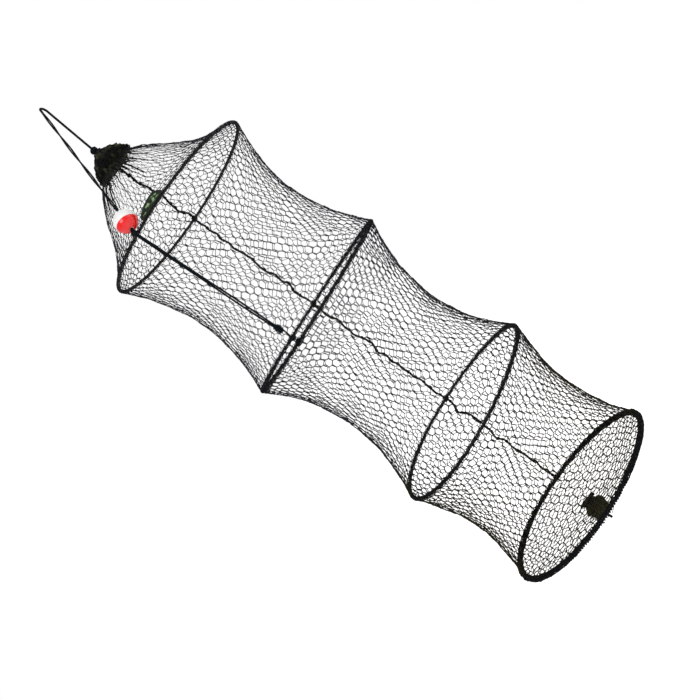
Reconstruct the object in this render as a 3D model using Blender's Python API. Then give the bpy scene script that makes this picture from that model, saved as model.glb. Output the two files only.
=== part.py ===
"""A fishing keepnet as it hangs from a hook by its cord loop.

Four wire hoops hold a knotted net open. The mouth is drawn together in a
gather under the cord, the bottom is closed by a second gather, and the cord
comes down over the outside through a ball float to the first two hoops.
All lengths are in metres, with +Z up. The origin is the point inside the
top of the cord loop where the hook bears. The near side is -Y.
"""

import math

import bmesh
import bpy
from mathutils import Vector

# Gap that is left between pieces that touch
CLEARANCE = 0.0003

# Hoops: outside diameter of the bare wire, and how far each hangs below the hook
HOOP_DIAMETER = 0.296
HOOP_WIRE = 0.004
HOOP_1_DROP = 0.2392
HOOP_2_DROP = 0.4819
HOOP_3_DROP = 0.7473
HOOP_4_DROP = 0.9632
# Rise of each hoop per metre to the right and to the back, and its twist, as the net hangs
HOOP_SLOPES = ((0.016, -0.046, 0.0), (0.051, 0.027, -0.067), (0.087, 0.036, -0.244), (0.030, -0.028, -0.167))
HOOP_POINTS = 40

# Net: its gaps are drawn coarser than the real 12 mm mesh
MESH_TWINE = 0.0014
MESH_COLUMNS = 16
BAY_ROWS = 8
BAY_WAISTS = (0.118, 0.111, 0.126)
MOUTH_ROWS = 4
MOUTH_BASE = 0.126
MOUTH_BULGE = 0.85
MOUTH_LIP = 5
MOUTH_SHIFT = -0.004
BOTTOM_ROWS = 4
BOTTOM_BOWL = 1.6

# Twine that lashes the net to each hoop: every turn takes one mesh above and one below
LASHING_TWINE = 0.0016
LASHING_SLACK = 0.0006
LASHING_TURNS = MESH_COLUMNS // 2
TURN_POINTS = 8
TIE_POINTS = 12

# Gather that closes the mouth, from its top down: drop below the hook and radius
GATHER_PROFILE = ((0.0985, 0.0074), (0.1070, 0.0078), (0.1125, 0.0170), (0.1200, 0.0255), (0.1310, 0.0300))
GATHER_PLEATS = MESH_COLUMNS
PLEAT_DEPTH = 0.10
GATHER_GAP = 0.0022

# Gather that closes the bottom, with its tuft: drop below the last hoop and radius
TUFT_PROFILE = ((0.0150, 0.0190), (0.0215, 0.0074), (0.0305, 0.0074), (0.0345, 0.0095), (0.0480, 0.0108))
TUFT_PLEATS = MESH_COLUMNS // 2
TIE_TWINE = 0.0020
TAIL_LENGTH = 0.016
TAIL_LEAN = 0.004

# Cord that hangs the net, and the bar of the hook that it passes over
CORD = 0.0032
CORD_STEP = 3.6
HOOK_BAR = 0.010
SPLIT_BELOW_HOOK = 0.006
DRAWSTRING = 0.0024
KNOT_TURNS = 2.5
BINDING_TURNS = 2

# Ball float, threaded on the cord
FLOAT_DIAMETER = 0.033
FLOAT_WALL = 0.0016
FLOAT_LIP = 0.003
FLOAT_BORE_WALL = 0.001
FLOAT_RUNNING_GAP = 0.0006
FLOAT_ANGLE = 247.9
FLOAT_SIDES = 20

# Doubled cord below the float, and its tie to the second hoop
HITCH_ANGLE = 247.0
HITCH_BELOW_FLOAT = 0.0006
LOWER_CORD = 0.0024
LOWER_CORD_ANGLE = 249.3
TIE_STRAND_SLANT = 40.0
END_KNOT_HEIGHT = 0.0323
END_KNOT_TURNS = 4

# Lacing of the seam down the back, outside the net
SEAM_CORD = 0.0026
SEAM_ANGLE = 90.0
SEAM_WAVE = 0.0025
SEAM_WAVE_LENGTH = 0.060
SEAM_POINTS = 12
TIE_TURNS = 1.5

# Sewn label on the first hoop
LABEL = (0.041, 0.014, 0.0012)
LABEL_ANGLE = 264.0
LABEL_LEAN = 28.0

HOOP_DROPS = (HOOP_1_DROP, HOOP_2_DROP, HOOP_3_DROP, HOOP_4_DROP)
HOOP_RADIUS = (HOOP_DIAMETER - HOOP_WIRE) / 2
# Turns are polygons, so their corners stand out further than their sides
TURN_SPREAD = 1 / math.cos(math.pi / TURN_POINTS)
TIE_SPREAD = 1 / math.cos(math.pi / TIE_POINTS)
LASHING_RADIUS = (HOOP_WIRE / 2 + LASHING_SLACK + LASHING_TWINE / 2) * TURN_SPREAD
LASHED_RADIUS = LASHING_RADIUS + LASHING_TWINE / 2
TIE_RADIUS = (LASHED_RADIUS + CLEARANCE + TIE_TWINE / 2) * TIE_SPREAD


def clear_scene():
    for old in list(bpy.data.objects):
        bpy.data.objects.remove(old)


def finish_material(name, colour, roughness, metallic=0.0):
    """A Principled material with one colour, written as linear red, green and blue."""
    made = bpy.data.materials.new(name)
    made.use_nodes = True
    shader = made.node_tree.nodes["Principled BSDF"]
    shader.inputs["Base Color"].default_value = (*colour, 1.0)
    shader.inputs["Roughness"].default_value = roughness
    shader.inputs["Metallic"].default_value = metallic
    return made


def add_mesh(name, points, faces, material):
    """A mesh object from world points and faces, with its faces pointing out."""
    mesh = bpy.data.meshes.new(name)
    mesh.from_pydata([tuple(p) for p in points], [], faces)
    work = bmesh.new()
    work.from_mesh(mesh)
    bmesh.ops.recalc_face_normals(work, faces=work.faces)
    work.to_mesh(mesh)
    work.free()
    mesh.materials.append(material)
    made = bpy.data.objects.new(name, mesh)
    bpy.context.collection.objects.link(made)
    return made


def add_tube(name, points, diameter, material, sides=2, closed=False):
    """A round cord along the points, as a curve with a bevel and filled ends."""
    curve = bpy.data.curves.new(name, "CURVE")
    curve.dimensions = "3D"
    curve.bevel_depth = diameter / 2
    curve.bevel_resolution = sides
    curve.render_resolution_u = 0
    curve.use_fill_caps = not closed
    spline = curve.splines.new("POLY")
    spline.points.add(len(points) - 1)
    for spot, point in zip(spline.points, points):
        spot.co = (*point, 1.0)
    spline.use_cyclic_u = closed
    curve.materials.append(material)
    made = bpy.data.objects.new(name, curve)
    bpy.context.collection.objects.link(made)
    return made


def around(angle, radius, height, slopes=(0.0, 0.0, 0.0)):
    """A point at an angle in degrees and a radius about the net, on a plane that slopes and twists."""
    turn = math.radians(angle)
    x = radius * math.cos(turn)
    y = radius * math.sin(turn)
    return Vector((x, y, height + slopes[0] * x + slopes[1] * y + slopes[2] * x * y))


def on_hoop(number, angle, outward=0.0, upward=0.0):
    """A point beside the wire of a hoop."""
    radius = HOOP_RADIUS + outward
    return around(angle, radius, upward - HOOP_DROPS[number], HOOP_SLOPES[number])


def blend(low, high, share):
    return low + (high - low) * share


def between(upper, lower, share, angle, radius):
    """A point on the net between two levels, each given as its drop and its slopes."""
    drop = blend(upper[0], lower[0], share)
    slopes = [blend(a, b, share) for a, b in zip(upper[1], lower[1])]
    return around(angle, radius, -drop, slopes)


def mitre(radius, row):
    """How far the mitred point of a mesh tip reaches past its corner."""
    half_width = math.pi * radius / MESH_COLUMNS
    return MESH_TWINE / 2 / math.sin(math.atan(half_width / row))


def tip_reach(row):
    """Mesh tips stop clear of the lashing on a hoop."""
    return LASHED_RADIUS + CLEARANCE + mitre(HOOP_RADIUS, row)


def bay_ends(bay):
    """The levels where the net of a bay meets its upper and its lower hoop."""
    reach = tip_reach((HOOP_DROPS[bay + 1] - HOOP_DROPS[bay]) / BAY_ROWS)
    upper = (HOOP_DROPS[bay] + reach, HOOP_SLOPES[bay])
    lower = (HOOP_DROPS[bay + 1] - reach, HOOP_SLOPES[bay + 1])
    return upper, lower


def bay_radius(bay, share):
    """The net draws in to its waist half way down a bay."""
    return HOOP_RADIUS - (HOOP_RADIUS - BAY_WAISTS[bay]) * 4 * share * (1 - share)


def mouth_ends():
    """The levels where the mouth net meets the rim of its gather and the first hoop."""
    drop, rim = GATHER_PROFILE[-1]
    row = math.hypot(HOOP_DROPS[0] - drop, HOOP_RADIUS - rim) / MOUTH_ROWS
    upper = (drop + CLEARANCE + GATHER_GAP, (0.0, 0.0, 0.0))
    lower = (HOOP_DROPS[0] - tip_reach(row), HOOP_SLOPES[0])
    return upper, lower


def mouth_radius(share):
    """A full cone down from the gather, with a lip that turns out to the first hoop."""
    rim = GATHER_PROFILE[-1][1]
    return rim + (MOUTH_BASE - rim) * share ** MOUTH_BULGE + (HOOP_RADIUS - MOUTH_BASE) * share ** MOUTH_LIP


def lattice(name, rows, place, material):
    """A net of diamond gaps: place gives the point at a share of the way down and an angle."""
    step = 360 / MESH_COLUMNS
    points = []
    for row in range(rows + 1):
        for column in range(MESH_COLUMNS):
            points.append(place(row / rows, step * (column + 0.5 + 0.5 * (row % 2))))
    faces = []
    for row in range(1, rows):
        for column in range(MESH_COLUMNS):
            beside = (column + 1) % MESH_COLUMNS
            peak = column if row % 2 == 0 else beside
            faces.append((
                (row - 1) * MESH_COLUMNS + peak,
                row * MESH_COLUMNS + column,
                (row + 1) * MESH_COLUMNS + peak,
                row * MESH_COLUMNS + beside,
            ))
    made = add_mesh(name, points, faces, material)
    twine = made.modifiers.new("twine", "WIREFRAME")
    twine.thickness = MESH_TWINE
    twine.use_even_offset = True
    twine.use_boundary = True
    return made


def add_hoop(number, wire):
    angles = [360 * step / HOOP_POINTS for step in range(HOOP_POINTS)]
    points = [on_hoop(number, angle) for angle in angles]
    add_tube(f"hoop_{number + 1}", points, HOOP_WIRE, wire, sides=1, closed=True)


def turns_round_hoop(number, start, sweep, turns, radius, phase=0.0, turn_points=TURN_POINTS):
    """Points of a winding round the wire of a hoop, from one angle on through a sweep."""
    count = round(turns * turn_points)
    points = []
    for step in range(count + 1):
        share = step / count
        turn = 2 * math.pi * (turns * share + phase)
        points.append(on_hoop(
            number, start + sweep * share, radius * math.cos(turn), radius * math.sin(turn)))
    return points


def add_lashing(number, twine):
    """The winding runs right round the hoop, and its end joins its start over a mesh tip."""
    start = 3 * 180 / MESH_COLUMNS
    points = turns_round_hoop(number, start, 360, LASHING_TURNS, LASHING_RADIUS, 0.25)
    add_tube(f"lashing_{number + 1}", points[:-1], LASHING_TWINE, twine, sides=1, closed=True)
    return points


def coil(centre, axis, ring, rise, turns, turn_points):
    """Points of a helix round an axis, centred on its own middle."""
    axis = axis.normalized()
    across = axis.orthogonal().normalized()
    beside = axis.cross(across)
    count = round(turns * turn_points)
    points = []
    for step in range(count + 1):
        turn = 2 * math.pi * step / turn_points
        along = rise * (step / turn_points - turns / 2)
        points.append(centre + along * axis + ring * (math.cos(turn) * across + math.sin(turn) * beside))
    return points


def knot_ring(core, cord, turn_points=TURN_POINTS):
    """Radius of a knot's turns round a core, with both their diameters given."""
    return (core / 2 + CLEARANCE + cord / 2) / math.cos(math.pi / turn_points)


def add_knot(name, centre, axis, core, cord, turns, twine, turn_points=TURN_POINTS):
    """A knot drawn as close turns of cord round what it grips."""
    rise = cord + LASHING_SLACK
    points = coil(centre, axis, knot_ring(core, cord, turn_points), rise, turns, turn_points)
    add_tube(name, points, cord, twine, sides=1)
    return points


def pleated(name, profile, pleats, material):
    """Net bunched in pleats: a closed solid whose rings rise and fall in radius."""
    sides = pleats * 2
    start = 180 / MESH_COLUMNS
    points = []
    for drop, radius in profile:
        for side in range(sides):
            pleat = 1 + PLEAT_DEPTH * (-1) ** side
            points.append(around(start + 360 * side / sides, radius * pleat, -drop))
    faces = [tuple(range(sides)), tuple(range((len(profile) - 1) * sides, len(profile) * sides))]
    for ring in range(len(profile) - 1):
        for side in range(sides):
            beside = (side + 1) % sides
            faces.append((
                ring * sides + side,
                ring * sides + beside,
                (ring + 1) * sides + beside,
                (ring + 1) * sides + side,
            ))
    return add_mesh(name, points, faces, material)


def revolved(name, profile, sides, centre, axis, material):
    """A ring-shaped solid from a closed profile of radius and height, turned about an axis."""
    points = []
    for side in range(sides):
        turn = 2 * math.pi * side / sides
        for radius, height in profile:
            points.append(Vector((radius * math.cos(turn), radius * math.sin(turn), height)))
    count = len(profile)
    faces = []
    for side in range(sides):
        beside = (side + 1) % sides
        for spot in range(count):
            following = (spot + 1) % count
            faces.append((
                side * count + spot,
                beside * count + spot,
                beside * count + following,
                side * count + following,
            ))
    made = add_mesh(name, points, faces, material)
    made.location = centre
    made.rotation_mode = "QUATERNION"
    made.rotation_quaternion = axis.to_track_quat("Z", "Y")
    made.data.shade_smooth()
    made.data.set_sharp_from_angle(angle=math.radians(40))
    return made


def bezier(start, first, second, end, share):
    """A point on a cubic curve that leaves its start towards first and meets its end from second."""
    left = 1 - share
    return (left ** 3 * start + 3 * left ** 2 * share * first
            + 3 * left * share ** 2 * second + share ** 3 * end)


def float_centre():
    """The ball rests on the lashed wire of the first hoop."""
    lift = FLOAT_DIAMETER / 2 + LASHED_RADIUS + CLEARANCE
    return on_hoop(0, FLOAT_ANGLE, 0.0, lift)


def loop_geometry():
    """Middle of the hook bar, the level direction towards the float, and the angle where the cord leaves."""
    bend = HOOK_BAR / 2 + CORD / 2
    middle = Vector((0.0, 0.0, -HOOK_BAR / 2))
    reach = float_centre() - middle
    level = Vector((reach.x, reach.y, 0.0)).normalized()
    slant = math.atan2(reach.z, reach.dot(level))
    leave = slant + math.acos(bend / reach.length)
    return middle, level, bend, leave


def mouth_knot_centre():
    rise = CLEARANCE + knot_height(DRAWSTRING, KNOT_TURNS) / 2
    return Vector((MOUTH_SHIFT, 0.0, rise - GATHER_PROFILE[0][0]))


def knot_height(cord, turns):
    return (cord + LASHING_SLACK) * turns + cord


def float_axis():
    """Unit vector down the straight run of cord from the hook to the ball."""
    middle, level, bend, leave = loop_geometry()
    start = middle + bend * (math.cos(leave) * level + math.sin(leave) * Vector((0, 0, 1)))
    return (float_centre() - start).normalized(), start


def float_pole():
    """The point on the cord where it leaves the ball."""
    return float_centre() + FLOAT_DIAMETER / 2 * float_axis()[0]


def hitch_centre():
    """The hitch lies against the outside of the first hoop, just under the ball."""
    outward = LASHED_RADIUS + 2 * CLEARANCE + DRAWSTRING + CORD / 2
    centre = on_hoop(0, HITCH_ANGLE, outward)
    centre.z = float_pole().z - HITCH_BELOW_FLOAT - knot_height(DRAWSTRING, KNOT_TURNS) / 2
    return centre


def end_knot_centre():
    outward = LASHED_RADIUS + CLEARANCE
    return on_hoop(1, LOWER_CORD_ANGLE, outward, END_KNOT_HEIGHT)


def add_hanger(cord):
    """One cord from the knot on the gather, up and over the hook bar, to a little way down its other side."""
    middle, level, bend, leave = loop_geometry()
    up = Vector((0, 0, 1))
    half_knot = knot_height(DRAWSTRING, KNOT_TURNS) / 2 * up
    knot = mouth_knot_centre()
    rising = middle - bend * level
    points = [knot - half_knot, knot, knot + half_knot]
    points += [blend(knot + half_knot, rising, share) for share in (0.2, 0.4, 0.6, 0.8)]
    arc = 7
    for step in range(arc + 1):
        turn = blend(math.pi, leave, step / arc)
        points.append(middle + bend * (math.cos(turn) * level + math.sin(turn) * up))
    down, start = float_axis()
    points.append(start + SPLIT_BELOW_HOOK * down)
    add_tube("hanger_cord", points, CORD, cord)
    return points


def add_float_cord(cord):
    """The same cord on down, through the ball and into the hitch on the first hoop."""
    down, start = float_axis()
    first = start + (SPLIT_BELOW_HOOK + CLEARANCE) * down
    pole = float_pole()
    count = round((pole - first).length / (CORD_STEP * CORD))
    points = [blend(first, pole, step / count) for step in range(count + 1)]
    half_knot = Vector((0, 0, knot_height(DRAWSTRING, KNOT_TURNS) / 2))
    head = hitch_centre() + half_knot / 2
    swing = (head - pole).length / 3
    for step in range(1, 4):
        points.append(bezier(pole, pole + swing * down, head + swing * Vector((0, 0, 1)), head, step / 4))
    points += [head, hitch_centre() - half_knot]
    add_tube("float_cord", points, CORD, cord)
    return points


def add_float(white, red, bore):
    """Two thin shells that meet at the equator with a lip, on a tube for the cord."""
    axis = -float_axis()[0]
    centre = float_centre()
    outer = FLOAT_DIAMETER / 2
    inner = outer - FLOAT_WALL
    tube_inner = CORD / 2 + FLOAT_RUNNING_GAP
    tube_outer = tube_inner + FLOAT_BORE_WALL
    hole = tube_outer + CLEARANCE
    half_gap = CLEARANCE / 2

    def arc(radius, start, end, count):
        first = math.asin(start / radius)
        last = math.acos(end / radius)
        turns = [blend(first, last, step / count) for step in range(count + 1)]
        return [(radius * math.cos(turn), radius * math.sin(turn)) for turn in turns]

    upper = arc(outer, half_gap, hole, 6) + arc(inner, half_gap, hole, 5)[::-1]
    revolved("float_white_shell", upper, FLOAT_SIDES, centre, axis, white)
    lip_outer = inner - CLEARANCE - FLOAT_LIP ** 2 / (2 * inner)
    lip_inner = lip_outer - FLOAT_WALL
    lower = [(r, -z) for r, z in arc(outer, half_gap, hole, 6)]
    lower += [(r, -z) for r, z in arc(inner, FLOAT_LIP * 2, hole, 4)[::-1]]
    lower += [(lip_inner, -FLOAT_LIP), (lip_inner, FLOAT_LIP), (lip_outer, FLOAT_LIP), (lip_outer, -half_gap)]
    revolved("float_red_shell", lower, FLOAT_SIDES, centre, axis, red)
    reach = math.sqrt(outer ** 2 - tube_outer ** 2)
    tube = [(tube_inner, -reach), (tube_outer, -reach), (tube_outer, reach), (tube_inner, reach)]
    revolved("float_bore_tube", tube, FLOAT_SIDES, centre, axis, bore)


def lower_cord_ends():
    """Top and bottom of the doubled cord: under the hitch, and inside the end knot."""
    top = hitch_centre() - Vector((0, 0, knot_height(DRAWSTRING, KNOT_TURNS) / 2 + CLEARANCE))
    bottom = end_knot_centre() - Vector((0, 0, knot_height(LOWER_CORD, END_KNOT_TURNS) / 2))
    return top, bottom


def add_lower_cord(cord):
    top, bottom = lower_cord_ends()
    sideways = Vector((0, 0, 1)).cross(bottom).normalized()
    half = LOWER_CORD / 2 + CLEARANCE
    count = 16
    for name, side in (("lower_cord_left", 1), ("lower_cord_right", -1)):
        points = []
        for step in range(count + 1):
            share = step / count
            spread = half + LOWER_CORD * 0.35 * math.sin(math.pi * share) ** 2
            points.append(blend(top, bottom, share) + side * spread * sideways)
        add_tube(name, points, LOWER_CORD, cord, sides=1)


def add_end_knot(cord):
    top, bottom = lower_cord_ends()
    centre = end_knot_centre()
    core = 2 * (LOWER_CORD + CLEARANCE)
    add_knot("end_knot", centre, top - bottom, core, LOWER_CORD, END_KNOT_TURNS, cord)


def add_hoop_tie(twine):
    """Turns of thin cord round the lashed wire of the second hoop, and its strand up to the end knot."""
    sweep = math.degrees(KNOT_TURNS * (TIE_TWINE + LASHING_SLACK) / HOOP_RADIUS)
    start = LOWER_CORD_ANGLE - sweep / 2
    points = turns_round_hoop(1, start, sweep, KNOT_TURNS, TIE_RADIUS, 0.0, TIE_POINTS)
    add_tube("hoop_tie", points, TIE_TWINE, twine, sides=1)
    slant = math.radians(TIE_STRAND_SLANT)
    touch = TIE_RADIUS + TIE_TWINE / 2 * (1 + math.sin(slant)) + CLEARANCE
    foot = on_hoop(1, LOWER_CORD_ANGLE, touch * math.sin(slant), touch * math.cos(slant))
    head = end_knot_centre()
    head.z -= knot_height(LOWER_CORD, END_KNOT_TURNS) / 2 + 2 * CLEARANCE
    middle = blend(foot, head, 0.5)
    add_tube("tie_strand", [foot, middle, head], TIE_TWINE, twine, sides=1)


def seam_point(place, share, length):
    """A point on the lacing outside the net, which waves a little to either side."""
    wave = SEAM_WAVE * math.sin(2 * math.pi * share * round(length / SEAM_WAVE_LENGTH))
    offset = MESH_TWINE / 2 + 2 * CLEARANCE + SEAM_CORD / 2
    angle = SEAM_ANGLE + math.degrees(wave / HOOP_RADIUS)
    down = place(min(share + 0.01, 1.0), angle) - place(max(share - 0.01, 0.0), angle)
    level = around(angle + 90, 1.0, 0.0)
    return place(share, angle) + offset * down.cross(level).normalized()


def add_seam(twine):
    """Lacing down the back in four lengths, each tied to the hoop below it."""
    reach = TIE_RADIUS + TIE_TWINE / 2
    places = [(mouth_place, mouth_ends(), GATHER_PROFILE[-1][0])]
    places += [(bay_place(bay), bay_ends(bay), HOOP_DROPS[bay] + reach) for bay in range(len(BAY_WAISTS))]
    for number, (place, (upper, lower), top) in enumerate(places):
        length = lower[0] - upper[0]
        first = max(top - upper[0], 0.0) / length
        last = (HOOP_DROPS[number] - reach - upper[0]) / length
        points = []
        for step in range(SEAM_POINTS + 1):
            share = blend(first, last, step / SEAM_POINTS)
            points.append(seam_point(place, share, length))
        add_tube(f"seam_lacing_{number + 1}", points, SEAM_CORD, twine, sides=1)
        sweep = math.degrees(TIE_TURNS * (TIE_TWINE + LASHING_SLACK) / HOOP_RADIUS)
        start = SEAM_ANGLE - sweep / 2
        tie = turns_round_hoop(number, start, sweep, TIE_TURNS, TIE_RADIUS, 0.5, TIE_POINTS)
        add_tube(f"seam_tie_{number + 1}", tie, TIE_TWINE, twine, sides=1)


def mouth_place(share, angle):
    upper, lower = mouth_ends()
    point = between(upper, lower, share, angle, mouth_radius(share))
    point.x += MOUTH_SHIFT * (1 - share)
    return point


def bay_place(bay):
    upper, lower = bay_ends(bay)

    def place(share, angle):
        return between(upper, lower, share, angle, bay_radius(bay, share))

    return place


def bottom_place(share, angle):
    """The bottom net sags in a shallow bowl from the last hoop to its gather."""
    below, rim = TUFT_PROFILE[0]
    last = HOOP_DROPS[-1] + below
    rim = rim * (1 + PLEAT_DEPTH) + CLEARANCE + GATHER_GAP
    radius = blend(HOOP_RADIUS, rim, share)
    top = HOOP_DROPS[-1] + LASHED_RADIUS + CLEARANCE + MESH_TWINE / 2
    drop = blend(top, last, 1 - (1 - share) ** BOTTOM_BOWL)
    slopes = [slope * (1 - share) for slope in HOOP_SLOPES[-1]]
    return around(angle, radius, -drop, slopes)


def add_label(material):
    """A folded label that leans in with the mouth net, sewn in above the first hoop."""
    length, height, thickness = LABEL
    lean = math.radians(LABEL_LEAN)
    base_out = MESH_TWINE + thickness
    seat = LASHED_RADIUS + CLEARANCE + thickness / 2
    base_up = math.sqrt(seat ** 2 - base_out ** 2)
    columns, rows = 8, 3
    half_angle = math.degrees(length / 2 / HOOP_RADIUS)
    points = []
    for skin in (-0.5, 0.5):
        for row in range(rows + 1):
            for column in range(columns + 1):
                rise = height * row / rows
                outward = base_out - rise * math.sin(lean) + skin * thickness * math.cos(lean)
                upward = base_up + rise * math.cos(lean) + (skin + 0.5) * thickness * math.sin(lean)
                angle = LABEL_ANGLE + blend(-half_angle, half_angle, column / columns)
                points.append(on_hoop(0, angle, outward, upward))
    wide = columns + 1
    sheet = wide * (rows + 1)
    faces = []
    for row in range(rows):
        for column in range(columns):
            a = row * wide + column
            quad = (a, a + 1, a + wide + 1, a + wide)
            faces.append(quad)
            faces.append(tuple(sheet + spot for spot in reversed(quad)))
    edge = [column for column in range(columns)]
    edge += [columns + row * wide for row in range(rows)]
    edge += [rows * wide + column for column in range(columns, 0, -1)]
    edge += [row * wide for row in range(rows, 0, -1)]
    for here, there in zip(edge, edge[1:] + edge[:1]):
        faces.append((here, sheet + here, sheet + there, there))
    add_mesh("label", points, faces, material)


def add_gathers(net_material, cord, twine):
    """The two bunches of net, each with the turns that bind its neck."""
    upright = Vector((0, 0, 1))
    gather = pleated("mouth_gather", GATHER_PROFILE, GATHER_PLEATS, net_material)
    gather.location.x = MOUTH_SHIFT
    (top, _), (foot, neck) = GATHER_PROFILE[:2]
    centre = Vector((MOUTH_SHIFT, 0, -blend(top, foot, 0.5)))
    around_neck = 2 * neck * (1 + PLEAT_DEPTH)
    add_knot("drawstring", centre, upright, around_neck, DRAWSTRING, BINDING_TURNS, cord, 2 * TURN_POINTS)
    add_knot("mouth_knot", mouth_knot_centre(), upright, CORD, DRAWSTRING, KNOT_TURNS, cord)
    tuft = [(HOOP_DROPS[-1] + below, radius) for below, radius in TUFT_PROFILE]
    pleated("bottom_gather", tuft, TUFT_PLEATS, net_material)
    (top, neck), (foot, _) = tuft[1:3]
    centre = Vector((0, 0, -blend(top, foot, 0.5)))
    around_neck = 2 * neck * (1 + PLEAT_DEPTH)
    add_knot("bottom_tie", centre, upright, around_neck, TIE_TWINE, BINDING_TURNS, twine, 2 * TURN_POINTS)
    top = Vector((0, 0, -tuft[-1][0] - 2 * CLEARANCE))
    tip = top - Vector((-TAIL_LEAN, 0, TAIL_LENGTH))
    add_tube("bottom_tail", [top, blend(top, tip, 0.5), tip], TIE_TWINE, twine, sides=1)


def least_gap(points, closed=False):
    """Least distance between turns of a winding, measured on its points."""
    ends = len(points)
    least = math.inf
    for first in range(ends):
        for second in range(first + TURN_POINTS // 2 + 1, ends):
            if closed and first + ends - second <= TURN_POINTS // 2:
                continue
            least = min(least, (points[first] - points[second]).length)
    return least


def main():
    clear_scene()
    wire = finish_material("coated_steel_wire", (0.02, 0.022, 0.02), 0.45)
    net = finish_material("knotted_nylon_net", (0.022, 0.028, 0.02), 0.8)
    bunched = finish_material("bunched_nylon_net", (0.018, 0.024, 0.014), 0.85)
    twine = finish_material("twisted_nylon_twine", (0.014, 0.015, 0.017), 0.75)
    lacing = finish_material("olive_lacing_twine", (0.028, 0.03, 0.016), 0.8)
    cord = finish_material("braided_cord", (0.012, 0.026, 0.03), 0.7)
    white = finish_material("gloss_white_plastic", (0.82, 0.82, 0.8), 0.2)
    red = finish_material("gloss_red_plastic", (0.7, 0.012, 0.018), 0.2)
    bore = finish_material("moulded_bore_plastic", (0.75, 0.75, 0.72), 0.35)
    label = finish_material("woven_label", (0.03, 0.07, 0.02), 0.8)

    for number in range(len(HOOP_DROPS)):
        add_hoop(number, wire)
        turns = add_lashing(number, twine)
        print(f"lashing_{number + 1}: least gap {least_gap(turns[:-1], True) - LASHING_TWINE:.4f} m")
    lattice("mouth_net", MOUTH_ROWS, mouth_place, net)
    for bay in range(len(BAY_WAISTS)):
        lattice(f"bay_net_{bay + 1}", BAY_ROWS, bay_place(bay), net)
    lattice("bottom_net", BOTTOM_ROWS, bottom_place, net)
    add_gathers(bunched, cord, twine)
    add_hanger(cord)
    add_float_cord(cord)
    add_float(white, red, bore)
    add_knot("hitch_knot", hitch_centre(), Vector((0, 0, 1)), CORD, DRAWSTRING, KNOT_TURNS, cord)
    add_lower_cord(cord)
    add_end_knot(cord)
    add_hoop_tie(twine)
    add_seam(lacing)
    add_label(label)


main()
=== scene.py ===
"""A fishing keepnet that hangs from a hook by its cord loop.

The nets, windings, cords, knots and gathers are built here as real twine in
place of the plain solids of the frame. All lengths are in metres, with +Z up,
and the near side is -Y. Angles about the net are in degrees from +X.
"""

import math
import random

import bpy
from mathutils import Matrix, Vector, noise


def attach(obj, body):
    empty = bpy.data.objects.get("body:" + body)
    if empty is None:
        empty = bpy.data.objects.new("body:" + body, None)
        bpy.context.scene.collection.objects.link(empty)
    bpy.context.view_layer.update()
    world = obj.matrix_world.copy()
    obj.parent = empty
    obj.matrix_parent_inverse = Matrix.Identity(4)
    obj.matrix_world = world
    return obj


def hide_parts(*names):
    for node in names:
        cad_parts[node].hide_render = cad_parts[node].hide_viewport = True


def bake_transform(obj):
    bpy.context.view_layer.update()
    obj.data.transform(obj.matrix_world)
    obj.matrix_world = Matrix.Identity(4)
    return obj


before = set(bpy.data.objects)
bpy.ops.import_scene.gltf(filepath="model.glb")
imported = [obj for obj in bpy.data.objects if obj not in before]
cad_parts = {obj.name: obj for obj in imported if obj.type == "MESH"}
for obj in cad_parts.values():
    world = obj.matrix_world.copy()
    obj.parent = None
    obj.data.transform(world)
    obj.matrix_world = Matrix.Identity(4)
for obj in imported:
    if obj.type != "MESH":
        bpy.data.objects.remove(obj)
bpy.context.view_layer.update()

bl_info = {
    "name": "Fishing keepnet",
    "version": (1, 0, 0),
    "blender": (4, 5, 0),
    "location": "3D View > Sidebar > Keepnet",
    "description": "Builds a hooped keepnet with its cords, ball float and seam lacing",
    "category": "Object",
}

# Noise vectors are drawn from this seed, and would otherwise change with the clock
noise.seed_set(11)

MM = 0.001
UP = Vector((0, 0, 1))

# Hoops: radius to the middle of the wire, drop below the hook, and rise per metre to the right and to
# the back with the twist. A lashing's weight is set against that of the second hoop, and the edge cords
# under it turn round the wire once in a given length.
HOOP_RADIUS = 0.146
WIRE = 0.004
HOOP_DROPS = (0.2392, 0.4819, 0.7473, 0.9632)
HOOP_SLOPES = (
    (0.016, -0.046, 0.0), (0.051, 0.027, -0.067), (0.087, 0.036, -0.244), (0.030, -0.028, -0.167))
LASHING_WEIGHTS = (0.62, 1.0, 1.0, 2.05)
EDGE_CORD_TURN = 0.07

# Net: how far it stands off the wire, and the shares between which the length of a leg of a mesh and
# the weight of its twine vary. The lashing holds the meshes near a hoop in line.
NET_OUT = 0.0028
LEG_SPREAD = (0.88, 1.08)
WEIGHT_SPREAD = (0.9, 1.12)

# Bays: radius of each waist, rows of meshes, length of a leg, and weight of the twine
BAY_WAISTS = (0.118, 0.111, 0.126)
BAY_ROWS = (24, 27, 22)
BAY_LEG = 0.0068
BAY_WEIGHTS = (0.98, 1.14, 1.3)

# Mouth: drop and radius where the cone leaves the gather, its radius before the lip at the hoop, and how
# full it is. It sags in on the right, spreads on the left, and its twine is drawn thinner inside a radius.
MOUTH_ROWS = 18
MOUTH_LEG = 0.0062
MOUTH_WEIGHT = 0.9
MOUTH_RIM = (0.1345, 0.0325)
MOUTH_GATHERED = 0.16
MOUTH_BASE = 0.126
MOUTH_BULGE = 0.85
MOUTH_LIP = 5
MOUTH_SHIFT = Vector((-0.004, 0, 0))
MOUTH_SAG = 0.0085
MOUTH_SPREAD = 0.005
MOUTH_THIN_INSIDE = 0.11

# Bottom: width and height of a mesh, radius where the gather begins, and how full the bowl is
BOTTOM_MESH = (0.0138, 0.0100)
BOTTOM_LEG = 0.0060
BOTTOM_WEIGHT = 1.15
BOTTOM_INNER = 0.0112
BOTTOM_BOWL = 1.6

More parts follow.
